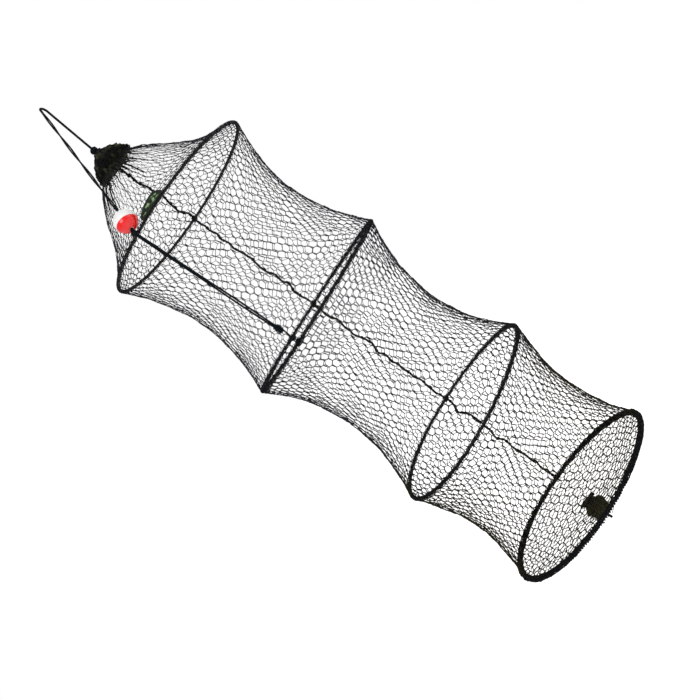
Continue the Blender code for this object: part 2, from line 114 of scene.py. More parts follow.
# Gathers: drop below the hook, or below the last hoop, and radius, and the turns that bind them
GATHER = (
    (0.0987, 0.0062), (0.1035, 0.0125), (0.1085, 0.0185), (0.1135, 0.0235), (0.1200, 0.0285),
    (0.1265, 0.0306), (0.1314, 0.0304))
TUFT = (
    (0.0165, 0.0122), (0.0200, 0.0090), (0.0225, 0.0088), (0.0248, 0.0130), (0.0290, 0.0152),
    (0.0350, 0.0148), (0.0405, 0.0118), (0.0482, 0.0109))
NECKS = ((0.0985, 0.0070), (0.0212, 0.0098))

# Tail: how far each end leans to the right and to the back, its length and its thickness
TAILS = (
    (1.0 * MM, 0.6 * MM, 0.0145, 4.2 * MM),
    (-1.5 * MM, -2.2 * MM, 0.007975, 2.4 * MM))

# Cords: hook bar, ball float, and the middle of each knot with half its height
HOOK_BAR = 0.010
HANGER_PAST_HOOK = 0.006
FLOAT_DIAMETER = 0.033
FLOAT_WALL = 1.6 * MM
FLOAT_ANGLE = 247.9
FLOAT_LIFT = 0.0212760
# How far the ball can slide up its cord, how far down the two strands of the cord lie side by side, and
# the length over which they turn half way round each other
FLOAT_SLIDE = 60 * MM
FLOAT_CORD_ABREAST = 33 * MM
FLOAT_CORD_HALF_TURN = 62 * MM
# How far round from its middle, in radians, the ball's red half begins
FLOAT_SEAM = 0.29
KNOT_HALF = 0.00495
MOUTH_KNOT = MOUTH_SHIFT - 0.09325 * UP
HITCH = Vector((-0.0606, -0.1428, -0.2319))
END_KNOT = Vector((-0.0533, -0.1410, -0.4566))
END_KNOT_HALF = 0.0072
TIE_KNOT_ABOVE_HOOP = 0.0105
LOWER_CORD_ANGLE = 249.3

# Seam lacing down the back, and the turns that tie a cord to a hoop
SEAM_ANGLE = 90.0
SEAM_OUT = 0.0018
WRAPS = 4
WRAP_PITCH = 1.9 * MM

# Label: length round the hoop, height and thickness, its foot outside and above the wire, and its lean
LABEL = (0.0455, 0.014, 0.0012)
LABEL_ANGLE = 263.1
LABEL_FOOT = (2.5 * MM, 0.9 * MM)
LABEL_LEAN = 28.0

# Camera of the photograph: where it stands, and its lens
CAMERA_PLACE = Vector((0.0, -1.4634, -0.4588))
CAMERA_RIGHT = Vector((0.999868, 0.016235, 0.0))
CAMERA_DOWN = Vector((0.0011125, -0.0685165, -0.9976494))
CAMERA_AHEAD = Vector((-0.0161967, 0.9975179, -0.0685255))
HANGS_TOWARDS = (0.814, 0.581)
LENS = 51.43
SENSOR = 36.0

# Stage: half the side of the floor and its drop below the hook, and each lamp's direction from the
# middle of the net, distance, width and power
FLOOR_HALF = 12.0
FLOOR_DROP = 1.22
LAMPS = (
    ("key", (-0.304, -0.811, 0.50), 2.2, 1.1, 15.0),
    ("fill", (0.75, -0.45, 0.25), 2.6, 1.6, 8.0),
    ("back", (0.2, 0.85, 0.55), 2.6, 1.6, 12.0))


def linear(code):
    """Linear red, green and blue of an sRGB hex colour."""
    parts = [int(code[spot:spot + 2], 16) / 255 for spot in (0, 2, 4)]
    return tuple(part / 12.92 if part <= 0.04045 else ((part + 0.055) / 1.055) ** 2.4 for part in parts)


def length_of(name, description, thickness):
    """A property for a thickness or a distance in millimetres."""
    return bpy.props.FloatProperty(
        name=name, description=description, default=thickness * MM, unit="LENGTH")


def colour_of(name, description, code):
    """A property for a colour, with an sRGB hex default."""
    return bpy.props.FloatVectorProperty(
        name=name, description=description, subtype="COLOR", size=3, default=linear(code))


class KeepnetSizes(bpy.types.PropertyGroup):
    """Sizes of the twine, cords and windings."""

    columns: bpy.props.IntProperty(
        name="Meshes round", description="Number of meshes round the net", default=64, min=16)
    net_twine: length_of("Net twine", "Thickness of the twine of the net", 0.94)
    looseness: length_of("Looseness", "How far the meshes wander from an even grid", 1.5)
    lashing_twine: length_of("Lashing twine", "Thickness of the twine that binds the net to the hoops", 1.05)
    lashing_pitch: length_of("Lashing pitch", "Distance between turns of the lashing", 4.2)
    cord: length_of("Hanging cord", "Thickness of the cord that hangs the net", 3.2)
    float_cord: length_of("Float cord", "Thickness of each of the two strands that carry the float", 2.1)
    lower_cord: length_of("Lower cord", "Thickness of each strand of the doubled cord below the float", 2.4)
    lacing: length_of("Seam lacing", "Thickness of the twine that laces the seam", 2.4)


class KeepnetColours(bpy.types.PropertyGroup):
    """Colours of the finishes."""

    net: colour_of("Net", "Dyed twine of the upper net", "2a2c34")
    net_low: colour_of("Low net", "Twine near the bottom, where silt has browned it", "26230f")
    net_silted: colour_of("Silted net", "Twine of the bottom net where silt has dried on it", "2f2a15")
    lashing: colour_of("Lashing", "Twine that binds the hoops", "0c0e12")
    wire: colour_of("Wire", "Coating of the hoop wire", "09090b")
    # The gather colours are a shaded and a lit copy of the bunched net: painted shade and painted highlight
    gather: colour_of("Gather", "Bunched net in shade", "090b05")
    gather_painted_highlight: colour_of("Gather light", "Bunched net where the twine is worn paler", "42452e")
    cord: colour_of("Cord", "Braided cord", "0a1217")
    lacing: colour_of("Lacing", "Seam lacing", "15160f")
    float_white: colour_of("Float white", "Upper half of the float", "fafaf9")
    float_red: colour_of("Float red", "Lower half of the float", "f4070e")
    label: colour_of("Label", "Ground of the woven label", "101c0e")
    label_mottle: colour_of("Label mottle", "Pale patches of the woven label", "8aa877")
    floor: colour_of("Floor", "Floor under the net", "f0f0ee")


def shares(count):
    """Shares from nothing to one in so many equal steps."""
    return [step / count for step in range(count + 1)]


def around(angle, radius, height, slopes=(0.0, 0.0, 0.0)):
    """A point at an angle and a radius about the net, on a plane that slopes and twists."""
    turn = math.radians(angle)
    x = radius * math.cos(turn)
    y = radius * math.sin(turn)
    return Vector((x, y, height + slopes[0] * x + slopes[1] * y + slopes[2] * x * y))


def on_hoop(number, angle, outward=0.0, upward=0.0):
    """A point beside the wire of a hoop."""
    return around(angle, HOOP_RADIUS + outward, upward - HOOP_DROPS[number], HOOP_SLOPES[number])


def outward_of(point):
    """The level direction from the net's axis to a point, and the one to its left."""
    out = Vector((point.x, point.y, 0)).normalized()
    return out, Vector((-out.y, out.x, 0))


def mix(low, high, share):
    """A value at a share of the way from one to another."""
    return low + (high - low) * share


def along(profile, share):
    """Drop and radius at a share of the length of a profile of straight pieces."""
    lengths = [math.dist(a, b) for a, b in zip(profile, profile[1:])]
    left = share * sum(lengths)
    spot = 0
    while spot < len(lengths) - 1 and left > lengths[spot]:
        left -= lengths[spot]
        spot += 1
    part = min(left / lengths[spot], 1.0)
    return tuple(mix(a, b, part) for a, b in zip(profile[spot], profile[spot + 1]))


def circle(across, beside, turn):
    """The direction at a turn from one axis towards another."""
    return math.cos(turn) * across + math.sin(turn) * beside


def bay_place(bay):
    """The net of a bay, which draws in to its waist half way between two hoops."""
    rim = HOOP_RADIUS + NET_OUT

    def place(share, angle):
        drop = mix(HOOP_DROPS[bay], HOOP_DROPS[bay + 1], share)
        slopes = [mix(a, b, share) for a, b in zip(HOOP_SLOPES[bay], HOOP_SLOPES[bay + 1])]
        radius = rim - (rim - BAY_WAISTS[bay]) * 4 * share * (1 - share)
        return around(angle, radius, -drop, slopes)

    return place


def mouth_place(share, angle):
    """The mouth net: down over its gather, then down a full cone with a lip at the first hoop."""
    if share < MOUTH_GATHERED:
        drop, radius = along(GATHER + (MOUTH_RIM,), share / MOUTH_GATHERED)
        return around(angle, radius * 1.02, -drop) + MOUTH_SHIFT
    part = (share - MOUTH_GATHERED) / (1 - MOUTH_GATHERED)
    rim_drop, rim = MOUTH_RIM
    radius = rim + (MOUTH_BASE - rim) * part ** MOUTH_BULGE
    radius += (HOOP_RADIUS + NET_OUT - MOUTH_BASE) * part ** MOUTH_LIP
    right = math.cos(math.radians(angle))
    radius -= MOUTH_SAG * max(0.0, right) * math.sin(math.pi * part ** 1.6)
    radius += MOUTH_SPREAD * max(0.0, -right) * math.sin(math.pi * part ** 0.5)
    slopes = [slope * part for slope in HOOP_SLOPES[0]]
    return around(angle, radius, -mix(rim_drop, HOOP_DROPS[0], part), slopes) + MOUTH_SHIFT * (1 - part)


def bottom_place(share, angle):
    """The bottom net sags in a shallow bowl from the last hoop in to its gather."""
    last = HOOP_DROPS[-1] + TUFT[0][0]
    radius = mix(HOOP_RADIUS + NET_OUT / 2, BOTTOM_INNER, share)
    drop = mix(HOOP_DROPS[-1] + NET_OUT, last, 1 - (1 - share) ** BOTTOM_BOWL)
    slopes = [slope * (1 - share) for slope in HOOP_SLOPES[-1]]
    return around(angle, radius, -drop, slopes)


def float_centre():
    """The ball rests on the wrapped wire of the first hoop."""
    return on_hoop(0, FLOAT_ANGLE, 0.0, FLOAT_LIFT)


def over_hook(cord):
    """Middle of the hook bar, level direction to the float, bend radius, and where the cord leaves it."""
    bend = HOOK_BAR / 2 + cord / 2
    middle = -HOOK_BAR / 2 * UP
    reach = float_centre() - middle
    level = outward_of(reach)[0]
    leave = math.atan2(reach.z, reach.dot(level)) + math.acos(bend / reach.length)
    start = middle + bend * circle(level, UP, leave)
    down = (float_centre() - start).normalized()
    return middle, level, bend, leave, start, down


class Shape:
    """Points, faces and lay coordinates of one mesh. The lay is metres along a strand and turns round it."""

    def __init__(self):
        self.points = []
        self.faces = []
        self.lays = []

    def face(self, corners, lays=None):
        """One face, with the lay at each corner."""
        self.faces.append(corners)
        self.lays.extend(lays or [(0.0, 0.0)] * len(corners))

    def strand(self, points, thickness, sides, closed=False, relief=None):
        """Sweeps a round strand along the points."""
        count = len(points)
        tangents = []
        for spot in range(count):
            if closed:
                before, after = points[spot - 1], points[(spot + 1) % count]
            else:
                before, after = points[max(spot - 1, 0)], points[min(spot + 1, count - 1)]
            tangents.append((after - before).normalized())
        normals = [tangents[0].orthogonal().normalized()]
        for tangent in tangents[1:]:
            normal = normals[-1] - tangent * normals[-1].dot(tangent)
            normals.append(normal.normalized())
        spin = 0.0
        if closed:
            last = normals[-1] - tangents[0] * normals[-1].dot(tangents[0])
            spin = math.atan2(last.cross(normals[0]).dot(tangents[0]), last.dot(normals[0]))
        base = len(self.points)
        runs = [0.0]
        for spot in range(1, count):
            runs.append(runs[-1] + (points[spot] - points[spot - 1]).length)
        for spot in range(count):
            tangent, normal = tangents[spot], normals[spot]
            if spin:
                normal = Matrix.Rotation(spin * spot / count, 3, tangent) @ normal
            beside = tangent.cross(normal)
            for side in range(sides):
                turn = 2 * math.pi * side / sides
                radius = thickness / 2
                if relief:
                    radius *= relief(runs[spot], turn)
                self.points.append(points[spot] + radius * circle(normal, beside, turn))
        for spot in range(count if closed else count - 1):
            following = (spot + 1) % count
            near = runs[spot]
            far = runs[following] if following else near + (points[0] - points[-1]).length
            for side in range(sides):
                beside = (side + 1) % sides
                low, high = side / sides, (side + 1) / sides
                here, there = base + spot * sides, base + following * sides
                self.face(
                    (here + side, here + beside, there + beside, there + side),
                    [(near, low), (near, high), (far, high), (far, low)])
        if not closed:
            last = base + (count - 1) * sides
            self.face(tuple(base + side for side in reversed(range(sides))))
            self.face(tuple(last + side for side in range(sides)))

    def bead(self, centre, axis, across, long, wide):
        """A small knot: a six-sided bead that is long in its axis."""
        beside = axis.cross(across)
        base = len(self.points)
        self.points.append(centre - axis * long)
        for height in (-0.55, 0.55):
            level = centre + axis * (long * height)
            for side in range(6):
                self.points.append(level + circle(across, beside, math.pi * side / 3) * wide)
        self.points.append(centre + axis * long)
        for side in range(6):
            after = (side + 1) % 6
            self.face((base, base + 1 + after, base + 1 + side))
            self.face((base + 1 + side, base + 1 + after, base + 7 + after, base + 7 + side))
            self.face((base + 7 + side, base + 7 + after, base + 13))

    def grid(self, rows, closed=False, lay=None):
        """A surface through rows of points, each row as long. Closed joins each row's end to its start."""
        base = len(self.points)
        wide = len(rows[0])
        for row in rows:
            self.points.extend(row)
        for row in range(len(rows) - 1):
            for spot in range(wide if closed else wide - 1):
                beside = (spot + 1) % wide
                here = base + row * wide
                lays = None
                if lay:
                    lays = [lay(row, spot), lay(row + 1, spot), lay(row + 1, spot + 1), lay(row, spot + 1)]
                self.face((here + spot, here + wide + spot, here + wide + beside, here + beside), lays)

    def piece(self, name, material, smooth=True):
        """The mesh object of this shape."""
        mesh = bpy.data.meshes.new(name)
        mesh.from_pydata(self.points, [], self.faces)
        layer = mesh.uv_layers.new(name="lay")
        layer.data.foreach_set("uv", [number for pair in self.lays for number in pair])
        mesh.materials.append(material)
        if smooth:
            mesh.shade_smooth()
        made = bpy.data.objects.new(name, mesh)
        bpy.context.scene.collection.objects.link(made)
        return made

    def fit(self, name, look, node, slot, *bodies, start=None, end=None):
        """Makes the piece in place of a node, and ties it to its one body; a piece between two bodies is
        fixed where it stands and tied to neither.
        """
        made = self.piece(name, finish(look))
        if len(bodies) > 1:
            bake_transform(made)
            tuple(start)
        else:
            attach(made, *bodies)
        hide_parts(node)
        return made


def braid(pitch):
    """Relief of a braid: small diamonds where three strands of each hand cross."""
    def relief(run, turn):
        lean = 2 * math.pi * run / pitch
        return 0.95 + 0.05 * math.cos(3 * turn + lean) * math.cos(3 * turn - lean)

    return relief


def ply(strands, pitch, depth):
    """Relief of a twine: strands that wind round each other."""
    def relief(run, turn):
        return 1 - depth / 2 + depth / 2 * math.cos(strands * (turn + 2 * math.pi * run / pitch))

    return relief


def spread_evenly(points, step):
    """Points a step apart along a polyline, with both its ends."""
    lengths = [(b - a).length for a, b in zip(points, points[1:])]
    total = sum(lengths)
    count = max(round(total / step), 1)
    made = []
    spot, passed = 0, 0.0
    for number in range(count + 1):
        wanted = total * number / count
        while spot < len(lengths) - 1 and passed + lengths[spot] < wanted:
            passed += lengths[spot]
            spot += 1
        made.append(points[spot].lerp(points[spot + 1], (wanted - passed) / lengths[spot]))
    return made


def turns_on_hoop(number, start, sweep, turns, radius, each, phase=0.0, lumps=None):
    """Points of a winding round the wire of a hoop, from one angle on through a sweep."""
    points = []
    for share in shares(turns * each):
        turn = 2 * math.pi * (turns * share + phase)
        angle = start + sweep * share
        out = radius + (lumps(angle) if lumps else 0.0)
        points.append(on_hoop(number, angle, out * math.cos(turn), out * math.sin(turn)))
    return points


def wraps(number, angle, clear, each):
    """Turns that lie side by side round the wire of a hoop, a little clear of it."""
    sweep = math.degrees(WRAPS * WRAP_PITCH / HOOP_RADIUS)
    return turns_on_hoop(number, angle - sweep / 2, sweep, WRAPS, WIRE / 2 + clear, each)


def square_to(axis):
    """An axis of length one and two more that are square to it."""
    axis = axis.normalized()
    across = axis.orthogonal().normalized()
    return axis, across, axis.cross(across)


def coil(centre, axis, radius, rise, turns, each):
    """Points of a coil round an axis, centred on its own middle."""
    axis, across, beside = square_to(axis)
    points = []
    for step in range(round(turns * each) + 1):
        up = rise * (step / each - turns / 2)
        points.append(centre + up * axis + radius * circle(across, beside, 2 * math.pi * step / each))
    return points


def knot_line(centre, axis, radius, half, cord, each=96):
    """A closed line that winds over and under itself round an axis, as a drawn-up knot does."""
    axis, across, beside = square_to(axis)
    points = []
    for step in range(each):
        turn = 2 * math.pi * step / each
        height = half * math.sin(3 * turn)
        out = radius + 0.35 * cord * math.cos(6 * turn) - 0.25 * radius * (height / half) ** 2
        points.append(centre + height * axis + out * circle(across, beside, 2 * turn))
    return points


def row_shares(place, rows, columns, leg):
    """Shares of the way down at which the legs lie, so that every slanted bar of the mesh is as long."""
    samples = 240
    spots = [place(step / samples, 0.0) for step in range(samples + 1)]
    steps = [(b - a).length for a, b in zip(spots, spots[1:])]
    halves = [math.pi * math.hypot(spot.x, spot.y) / columns for spot in spots[:-1]]

    def spacing(bar, half):
        return leg + math.sqrt(max(bar ** 2 - half ** 2, (0.2 * leg) ** 2))

    def counted(bar):
        return sum(step / spacing(bar, half) for step, half in zip(steps, halves))

    low, high = 0.001, 0.08
    for _ in range(50):
        middle = (low + high) / 2
        if counted(middle) > rows:
            low = middle
        else:
            high = middle
    bar = (low + high) / 2
    whole = counted(bar)
    shares = [0.0]
    passed = 0.0
    for number, (step, half) in enumerate(zip(steps, halves)):
        more = step / spacing(bar, half) * rows / whole
        while len(shares) < rows and passed + more >= len(shares):
            shares.append((number + (len(shares) - passed) / more) / samples)
        passed += more
    shares.append(1.0)
    return shares


def thin_strand(shape, points, across, radii):
    """A three-sided strand, for the many short lengths of a net."""
    base = len(shape.points)
    last = len(points) - 1
    for spot, point in enumerate(points):
        tangent = (points[min(spot + 1, last)] - points[max(spot - 1, 0)]).normalized()
        level = (across - tangent * across.dot(tangent)).normalized()
        beside = tangent.cross(level)
        for cosine, sine in ((1.0, 0.0), (-0.5, 0.8660254), (-0.5, -0.8660254)):
            shape.points.append(point + (level * cosine + beside * sine) * radii[spot])
    for ring in range(0, 3 * last, 3):
        for corner in (0, 1, 2):
            after = (corner + 1) % 3
            here, there = base + ring, base + ring + 3
            shape.face((here + corner, here + after, there + after, there + corner))
    ring = base + 3 * last
    shape.face((base + 2, base + 1, base))
    shape.face((ring, ring + 1, ring + 2))


def wander(spot, seed, looseness, slow, quick):
    """How far a mesh is off its place: a slow drift over some 50 mm, and a quick one over 11 mm."""
    drift = noise.noise_vector(spot * 20 + Vector((seed, 0, 0))) * looseness * slow
    return drift + noise.noise_vector(spot * 90) * looseness * quick


def mesh_net(shape, place, rows, leg, weight, sizes, seed, thin_inside=0.0):
    """A panel of six-sided meshes: legs of two strands twisted together, joined by single slanted bars."""
    chance = random.Random(seed)
    columns = sizes.columns
    table = []
    for row, share in enumerate(row_shares(place, rows, columns, leg)):
        hold = min(1.0, share * 7, (1 - share) * 7)
        legs = []
        for column in range(columns):
            angle = 360 / columns * (column + 0.5 * (row % 2))
            flat = place(share, angle)
            fall = (place(min(share + 0.01, 1.0), angle) - place(max(share - 0.01, 0.0), angle)).normalized()
            out, level = outward_of(flat)
            off = wander(flat, seed, sizes.looseness, 1.5, 0.6)
            off += Vector([chance.gauss(0, 1) for _ in range(3)]) * sizes.looseness * 0.15
            lean = noise.noise(flat * 24 + Vector((0, seed, 0))) * 0.75 + chance.gauss(0, 0.09)
            long = leg * chance.uniform(*LEG_SPREAD)
            axis = (fall + level * lean * hold).normalized()
            middle = flat + off * hold
            top = middle - axis * (long / 2 if row else 0.0)
            foot = middle + axis * (long / 2 if row < rows else 0.0)
            strength = weight * chance.uniform(*WEIGHT_SPREAD)
            strength *= thinned(math.hypot(flat.x, flat.y), thin_inside)
            legs.append((top, foot, (out - axis * out.dot(axis)).normalized(), strength))
        table.append(legs)
    twine = sizes.net_twine / 2
    for row, legs in enumerate(table):
        for column, (top, foot, out, strength) in enumerate(legs):
            twisted_leg(shape, top, foot, out, twine * strength, chance)
            if row == rows:
                continue
            for other in joined(row, column):
                below = table[row + 1][other % columns]
                bar(shape, foot, below[0], out, twine * (strength + below[3]) / 2, chance)


def joined(row, column):
    """Columns of the two legs below that a leg is joined to, as each row stands half a mesh along."""
    return (column - 1, column) if row % 2 == 0 else (column, column + 1)


def thinned(radius, inside):
    """How thin the twine is drawn where many meshes crowd together inside a radius."""
    return min(1.0, max(0.42, (radius / inside) ** 0.8)) if inside else 1.0


def twisted_leg(shape, top, foot, out, radius, chance):
    """A leg of a mesh: two strands that turn half way round each other."""
    axis = (foot - top).normalized()
    level = axis.cross(out)
    start = chance.uniform(-0.5, 0.5)
    turned = chance.choice((-1, 1)) * chance.uniform(0.75, 1.15) * math.pi
    for side in (-1, 1):
        line = []
        for part in range(5):
            turn = start + turned * (part / 4 - 0.5) + math.pi / 2
            apart = side * radius * (0.92 if 0 < part < 4 else 0.7)
            line.append(top.lerp(foot, part / 4) + circle(out, level, turn) * apart)
        thin_strand(shape, line, out, [radius] * 5)


def bottom_net(shape, sizes, seed):
    """The bottom net keeps its meshes as large right in to the gather, as flat net that is cut round."""
    chance = random.Random(seed)
    wide, tall = BOTTOM_MESH
    rim = HOOP_RADIUS + NET_OUT / 2
    half_rows = int(rim / tall) + 1
    half_columns = int(rim / wide) + 2

    def laid(across, down):
        """A point of the bowl over a point of the flat net, and whether it lies between the rims."""
        radius = math.hypot(across, down)
        angle = math.degrees(math.atan2(across, down))
        drawn = radius * (1 - 0.12 * math.exp(-radius / 0.04))
        share = (rim - drawn) / (rim - BOTTOM_INNER)
        spot = bottom_place(min(max(share, 0.0), 1.0), angle)
        inside = 0.0 < share < 1.0
        if inside:
            hold = min(1.0, share * 8)
            off = wander(spot, seed, sizes.looseness, 1.6, 0.7)
            spot += Vector((off.x, off.y, off.z * 1.5)) * hold
        return spot, inside

    legs = {}
    for row in range(-half_rows, half_rows + 1):
        for column in range(-half_columns, half_columns + 1):
            across = wide * (column + 0.5 * (row % 2))
            down = tall * row
            lean = noise.noise(Vector((across * 24, down * 24, seed))) * 2.7 * MM
            long = BOTTOM_LEG * chance.uniform(*LEG_SPREAD) / 2
            top = laid(across - lean, down - long)
            foot = laid(across + lean, down + long)
            strength = BOTTOM_WEIGHT * chance.uniform(*WEIGHT_SPREAD)
            legs[row, column] = (top, foot, sizes.net_twine / 2 * strength)
    for (row, column), (top, foot, radius) in legs.items():
        if top[1] or foot[1]:
            twisted_leg(shape, top[0], foot[0], -UP, radius, chance)
        for other in joined(row, column):
            below = legs.get((row + 1, other))
            if below and (foot[1] or below[0][1]):
                bar(shape, foot[0], below[0][0], -UP, (radius + below[2]) / 2, chance)


def bar(shape, start, end, out, radius, chance):
    """One slanted bar of a mesh, thicker where it enters the legs, which rounds the corners of the mesh."""
    sag = out * chance.uniform(-0.3, 0.4) * MM
    reach = end - start
    bow = reach.cross(out) * (chance.uniform(-0.06, 0.06) if reach.length > 1e-6 else 0.0)
    line = [start, start + reach * 0.32 + sag + bow, start + reach * 0.68 + sag + bow, end]
    thin_strand(shape, line, out, [radius * 1.35, radius * 0.93, radius * 0.93, radius * 1.35])


def add_node(tree, kind, values=None, links=None, **settings):
    """Adds a node with its settings, the values of its sockets, and the links into them.

    A link comes from a socket, or from the first socket of a node that its settings leave in use.
    """
    made = tree.nodes.new(kind)
    for name, value in settings.items():
        setattr(made, name, value)
    for socket, value in (values or {}).items():
        made.inputs[socket].default_value = value
    for socket, source in (links or {}).items():
        if isinstance(source, bpy.types.Node):
            source = next(output for output in source.outputs if output.enabled)
        tree.links.new(source, made.inputs[socket])
    return made


def new_tree(owner):
    """The emptied node tree of a material or of the surroundings."""
    owner.use_nodes = True
    owner.node_tree.nodes.clear()
    return owner.node_tree


def end_finish(tree, values, links):
    """Ends a finish with its shader. A number that is the same all over is set on the shader itself."""
    shader = add_node(tree, "ShaderNodeBsdfPrincipled", values, links)
    add_node(tree, "ShaderNodeOutputMaterial", links={"Surface": shader})


def winding(tree, pitch, starts):
    """A wave that winds round a strand with so many starts. A negative pitch winds it the other way."""
    lay = add_node(tree, "ShaderNodeUVMap", uv_map="lay")
    parts = add_node(tree, "ShaderNodeSeparateXYZ", links={0: lay})
    runs = add_node(
        tree, "ShaderNodeMath", {1: 2 * math.pi / pitch}, {0: parts.outputs["X"]}, operation="MULTIPLY")
    turns = add_node(
        tree, "ShaderNodeMath", {1: 2 * math.pi * starts}, {0: parts.outputs["Y"], 2: runs},
        operation="MULTIPLY_ADD")
    return add_node(tree, "ShaderNodeMath", links={0: turns}, operation="SINE")


def dyed_net_twine(tree, clean, silted):
    """Multifilament nylon, dyed and twisted into net: matt, uneven in tone, brown with silt low down."""
    place = add_node(tree, "ShaderNodeNewGeometry")
    height = add_node(tree, "ShaderNodeSeparateXYZ", links={0: place})
    # Patches of dye are about 60 mm across
    patches = add_node(tree, "ShaderNodeTexNoise", {"Scale": 16.0, "Detail": 3.0}, {"Vector": place})
    level = add_node(
        tree, "ShaderNodeMapRange", {"From Min": -0.55, "From Max": -0.98, "To Min": -0.15, "To Max": 0.85},
        {"Value": height.outputs["Z"]})
    stain = add_node(tree, "ShaderNodeMath", links={0: patches, 1: level}, operation="ADD", use_clamp=True)
    eased = add_node(
        tree, "ShaderNodeMapRange", {"From Min": 0.35, "From Max": 1.1}, {"Value": stain},
        interpolation_type="SMOOTHSTEP")
    base = add_node(tree, "ShaderNodeMix", {6: clean, 7: silted}, {0: eased}, data_type="RGBA")
    # The lay of real twine is under 1 mm, so the tone is drawn at 3 mm, where it still shows
    fibres = add_node(tree, "ShaderNodeTexNoise", {"Scale": 330.0, "Detail": 2.0}, {"Vector": place})
    tone = add_node(
        tree, "ShaderNodeMapRange", {"From Min": 0.3, "From Max": 0.7, "To Min": 0.65, "To Max": 1.4},
        {"Value": fibres})
    shade = add_node(
        tree, "ShaderNodeMix", {0: 1.0}, {6: base, 7: tone}, data_type="RGBA", blend_type="MULTIPLY")
    bump = add_node(tree, "ShaderNodeBump", {"Strength": 0.4, "Distance": 0.0003}, {"Height": fibres})
    end_finish(
        tree, {"Roughness": 0.85, "IOR": 1.53, "Specular IOR Level": 0.1},
        {"Base Color": shade, "Normal": bump})


def laid_twine(tree, colour, pitch, lift):
    """Twisted nylon twine: each ply's crown is painted lighter as a painted highlight, and the grooves
    between are painted darker as painted shade.
    """
    wave = winding(tree, pitch, 2)
    place = add_node(tree, "ShaderNodeNewGeometry")
    # Fuzz and dirt come in flecks of 2 mm
    flecks = add_node(tree, "ShaderNodeTexNoise", {"Scale": 500.0, "Detail": 3.0}, {"Vector": place})
    height = add_node(tree, "ShaderNodeMath", {1: 0.35}, {0: wave, 2: flecks}, operation="MULTIPLY_ADD")
    # The tone paints a highlight on each crown and shade in the grooves; lift is how bright the painted
    # highlight goes
    tone = add_node(
        tree, "ShaderNodeMapRange", {"From Min": 0.1, "From Max": 0.9, "To Min": 0.6, "To Max": lift},
        {"Value": height})
    shade = add_node(
        tree, "ShaderNodeMix", {0: 1.0, 6: colour}, {7: tone}, data_type="RGBA", blend_type="MULTIPLY")
    rough = add_node(
        tree, "ShaderNodeMapRange", {"From Min": 0.2, "From Max": 0.8, "To Min": 0.85, "To Max": 0.6},
        {"Value": flecks})
    bump = add_node(tree, "ShaderNodeBump", {"Strength": 0.6, "Distance": 0.0003}, {"Height": height})
    end_finish(
        tree, {"IOR": 1.53, "Specular IOR Level": 0.08},
        {"Base Color": shade, "Roughness": rough, "Normal": bump})


def braided_cord(tree, colour):
    """Braided polyester cord: a diamond of crossing plaits, each crown painted lighter as a painted
    highlight and the dips between painted darker as painted shade.
    """
    # Plaits are 4 mm long, and four pass round the cord each way
    plait = add_node(
        tree, "ShaderNodeMath", links={0: winding(tree, 4 * MM, 4), 1: winding(tree, -4 * MM, 4)},
        operation="MULTIPLY")
    # The plait pattern scales the colour: painted highlight on the crowns, painted shade between them
    tone = add_node(
        tree, "ShaderNodeMapRange", {"From Min": -1.0, "From Max": 1.0, "To Min": 0.5, "To Max": 1.35},
        {"Value": plait})
    shade = add_node(
        tree, "ShaderNodeMix", {0: 1.0, 6: colour}, {7: tone}, data_type="RGBA", blend_type="MULTIPLY")
    bump = add_node(tree, "ShaderNodeBump", {"Strength": 0.5, "Distance": 0.0003}, {"Height": plait})
    end_finish(
        tree, {"Roughness": 0.7, "IOR": 1.57, "Specular IOR Level": 0.08},
        {"Base Color": shade, "Normal": bump})


def coated_wire(tree, colour):
    """Steel wire in a dipped vinyl coat: black, soft gloss, with fine orange peel."""
    place = add_node(tree, "ShaderNodeNewGeometry")
    # Orange peel is about 1.7 mm across
    peel = add_node(tree, "ShaderNodeTexNoise", {"Scale": 600.0, "Detail": 2.0}, {"Vector": place})
    scuffs = add_node(
        tree, "ShaderNodeMapRange", {"From Min": 0.3, "From Max": 0.7, "To Min": 0.35, "To Max": 0.6},
        {"Value": peel})
    bump = add_node(tree, "ShaderNodeBump", {"Strength": 0.2, "Distance": 0.0002}, {"Height": peel})
    end_finish(
        tree, {"Base Color": colour, "IOR": 1.53, "Specular IOR Level": 0.3},
        {"Roughness": scuffs, "Normal": bump})


def bunched_net(tree, painted_shade_colour, painted_highlight_colour):
    """The same nylon drawn into a bunch: a dark copy of it as painted shade, with olive patches of painted
    highlight laid by noise.
    """
    place = add_node(tree, "ShaderNodeNewGeometry")
    # Painted highlights lie in patches of 12 mm
    patches = add_node(tree, "ShaderNodeTexNoise", {"Scale": 80.0, "Detail": 2.0}, {"Vector": place})
    painted_highlight_mask = add_node(
        tree, "ShaderNodeMapRange", {"From Min": 0.5, "From Max": 0.72}, {"Value": patches},
        interpolation_type="SMOOTHSTEP")
    base = add_node(tree, "ShaderNodeMix", {6: painted_shade_colour, 7: painted_highlight_colour}, {0: painted_highlight_mask}, data_type="RGBA")
    # Twine shows as a grain of 1.4 mm, about the thickness of a loop
    fibres = add_node(tree, "ShaderNodeTexNoise", {"Scale": 700.0, "Detail": 2.0}, {"Vector": place})
    bump = add_node(tree, "ShaderNodeBump", {"Strength": 0.7, "Distance": 0.0005}, {"Height": fibres})
    end_finish(
        tree, {"Roughness": 0.85, "IOR": 1.53, "Specular IOR Level": 0.1},
        {"Base Color": base, "Normal": bump})


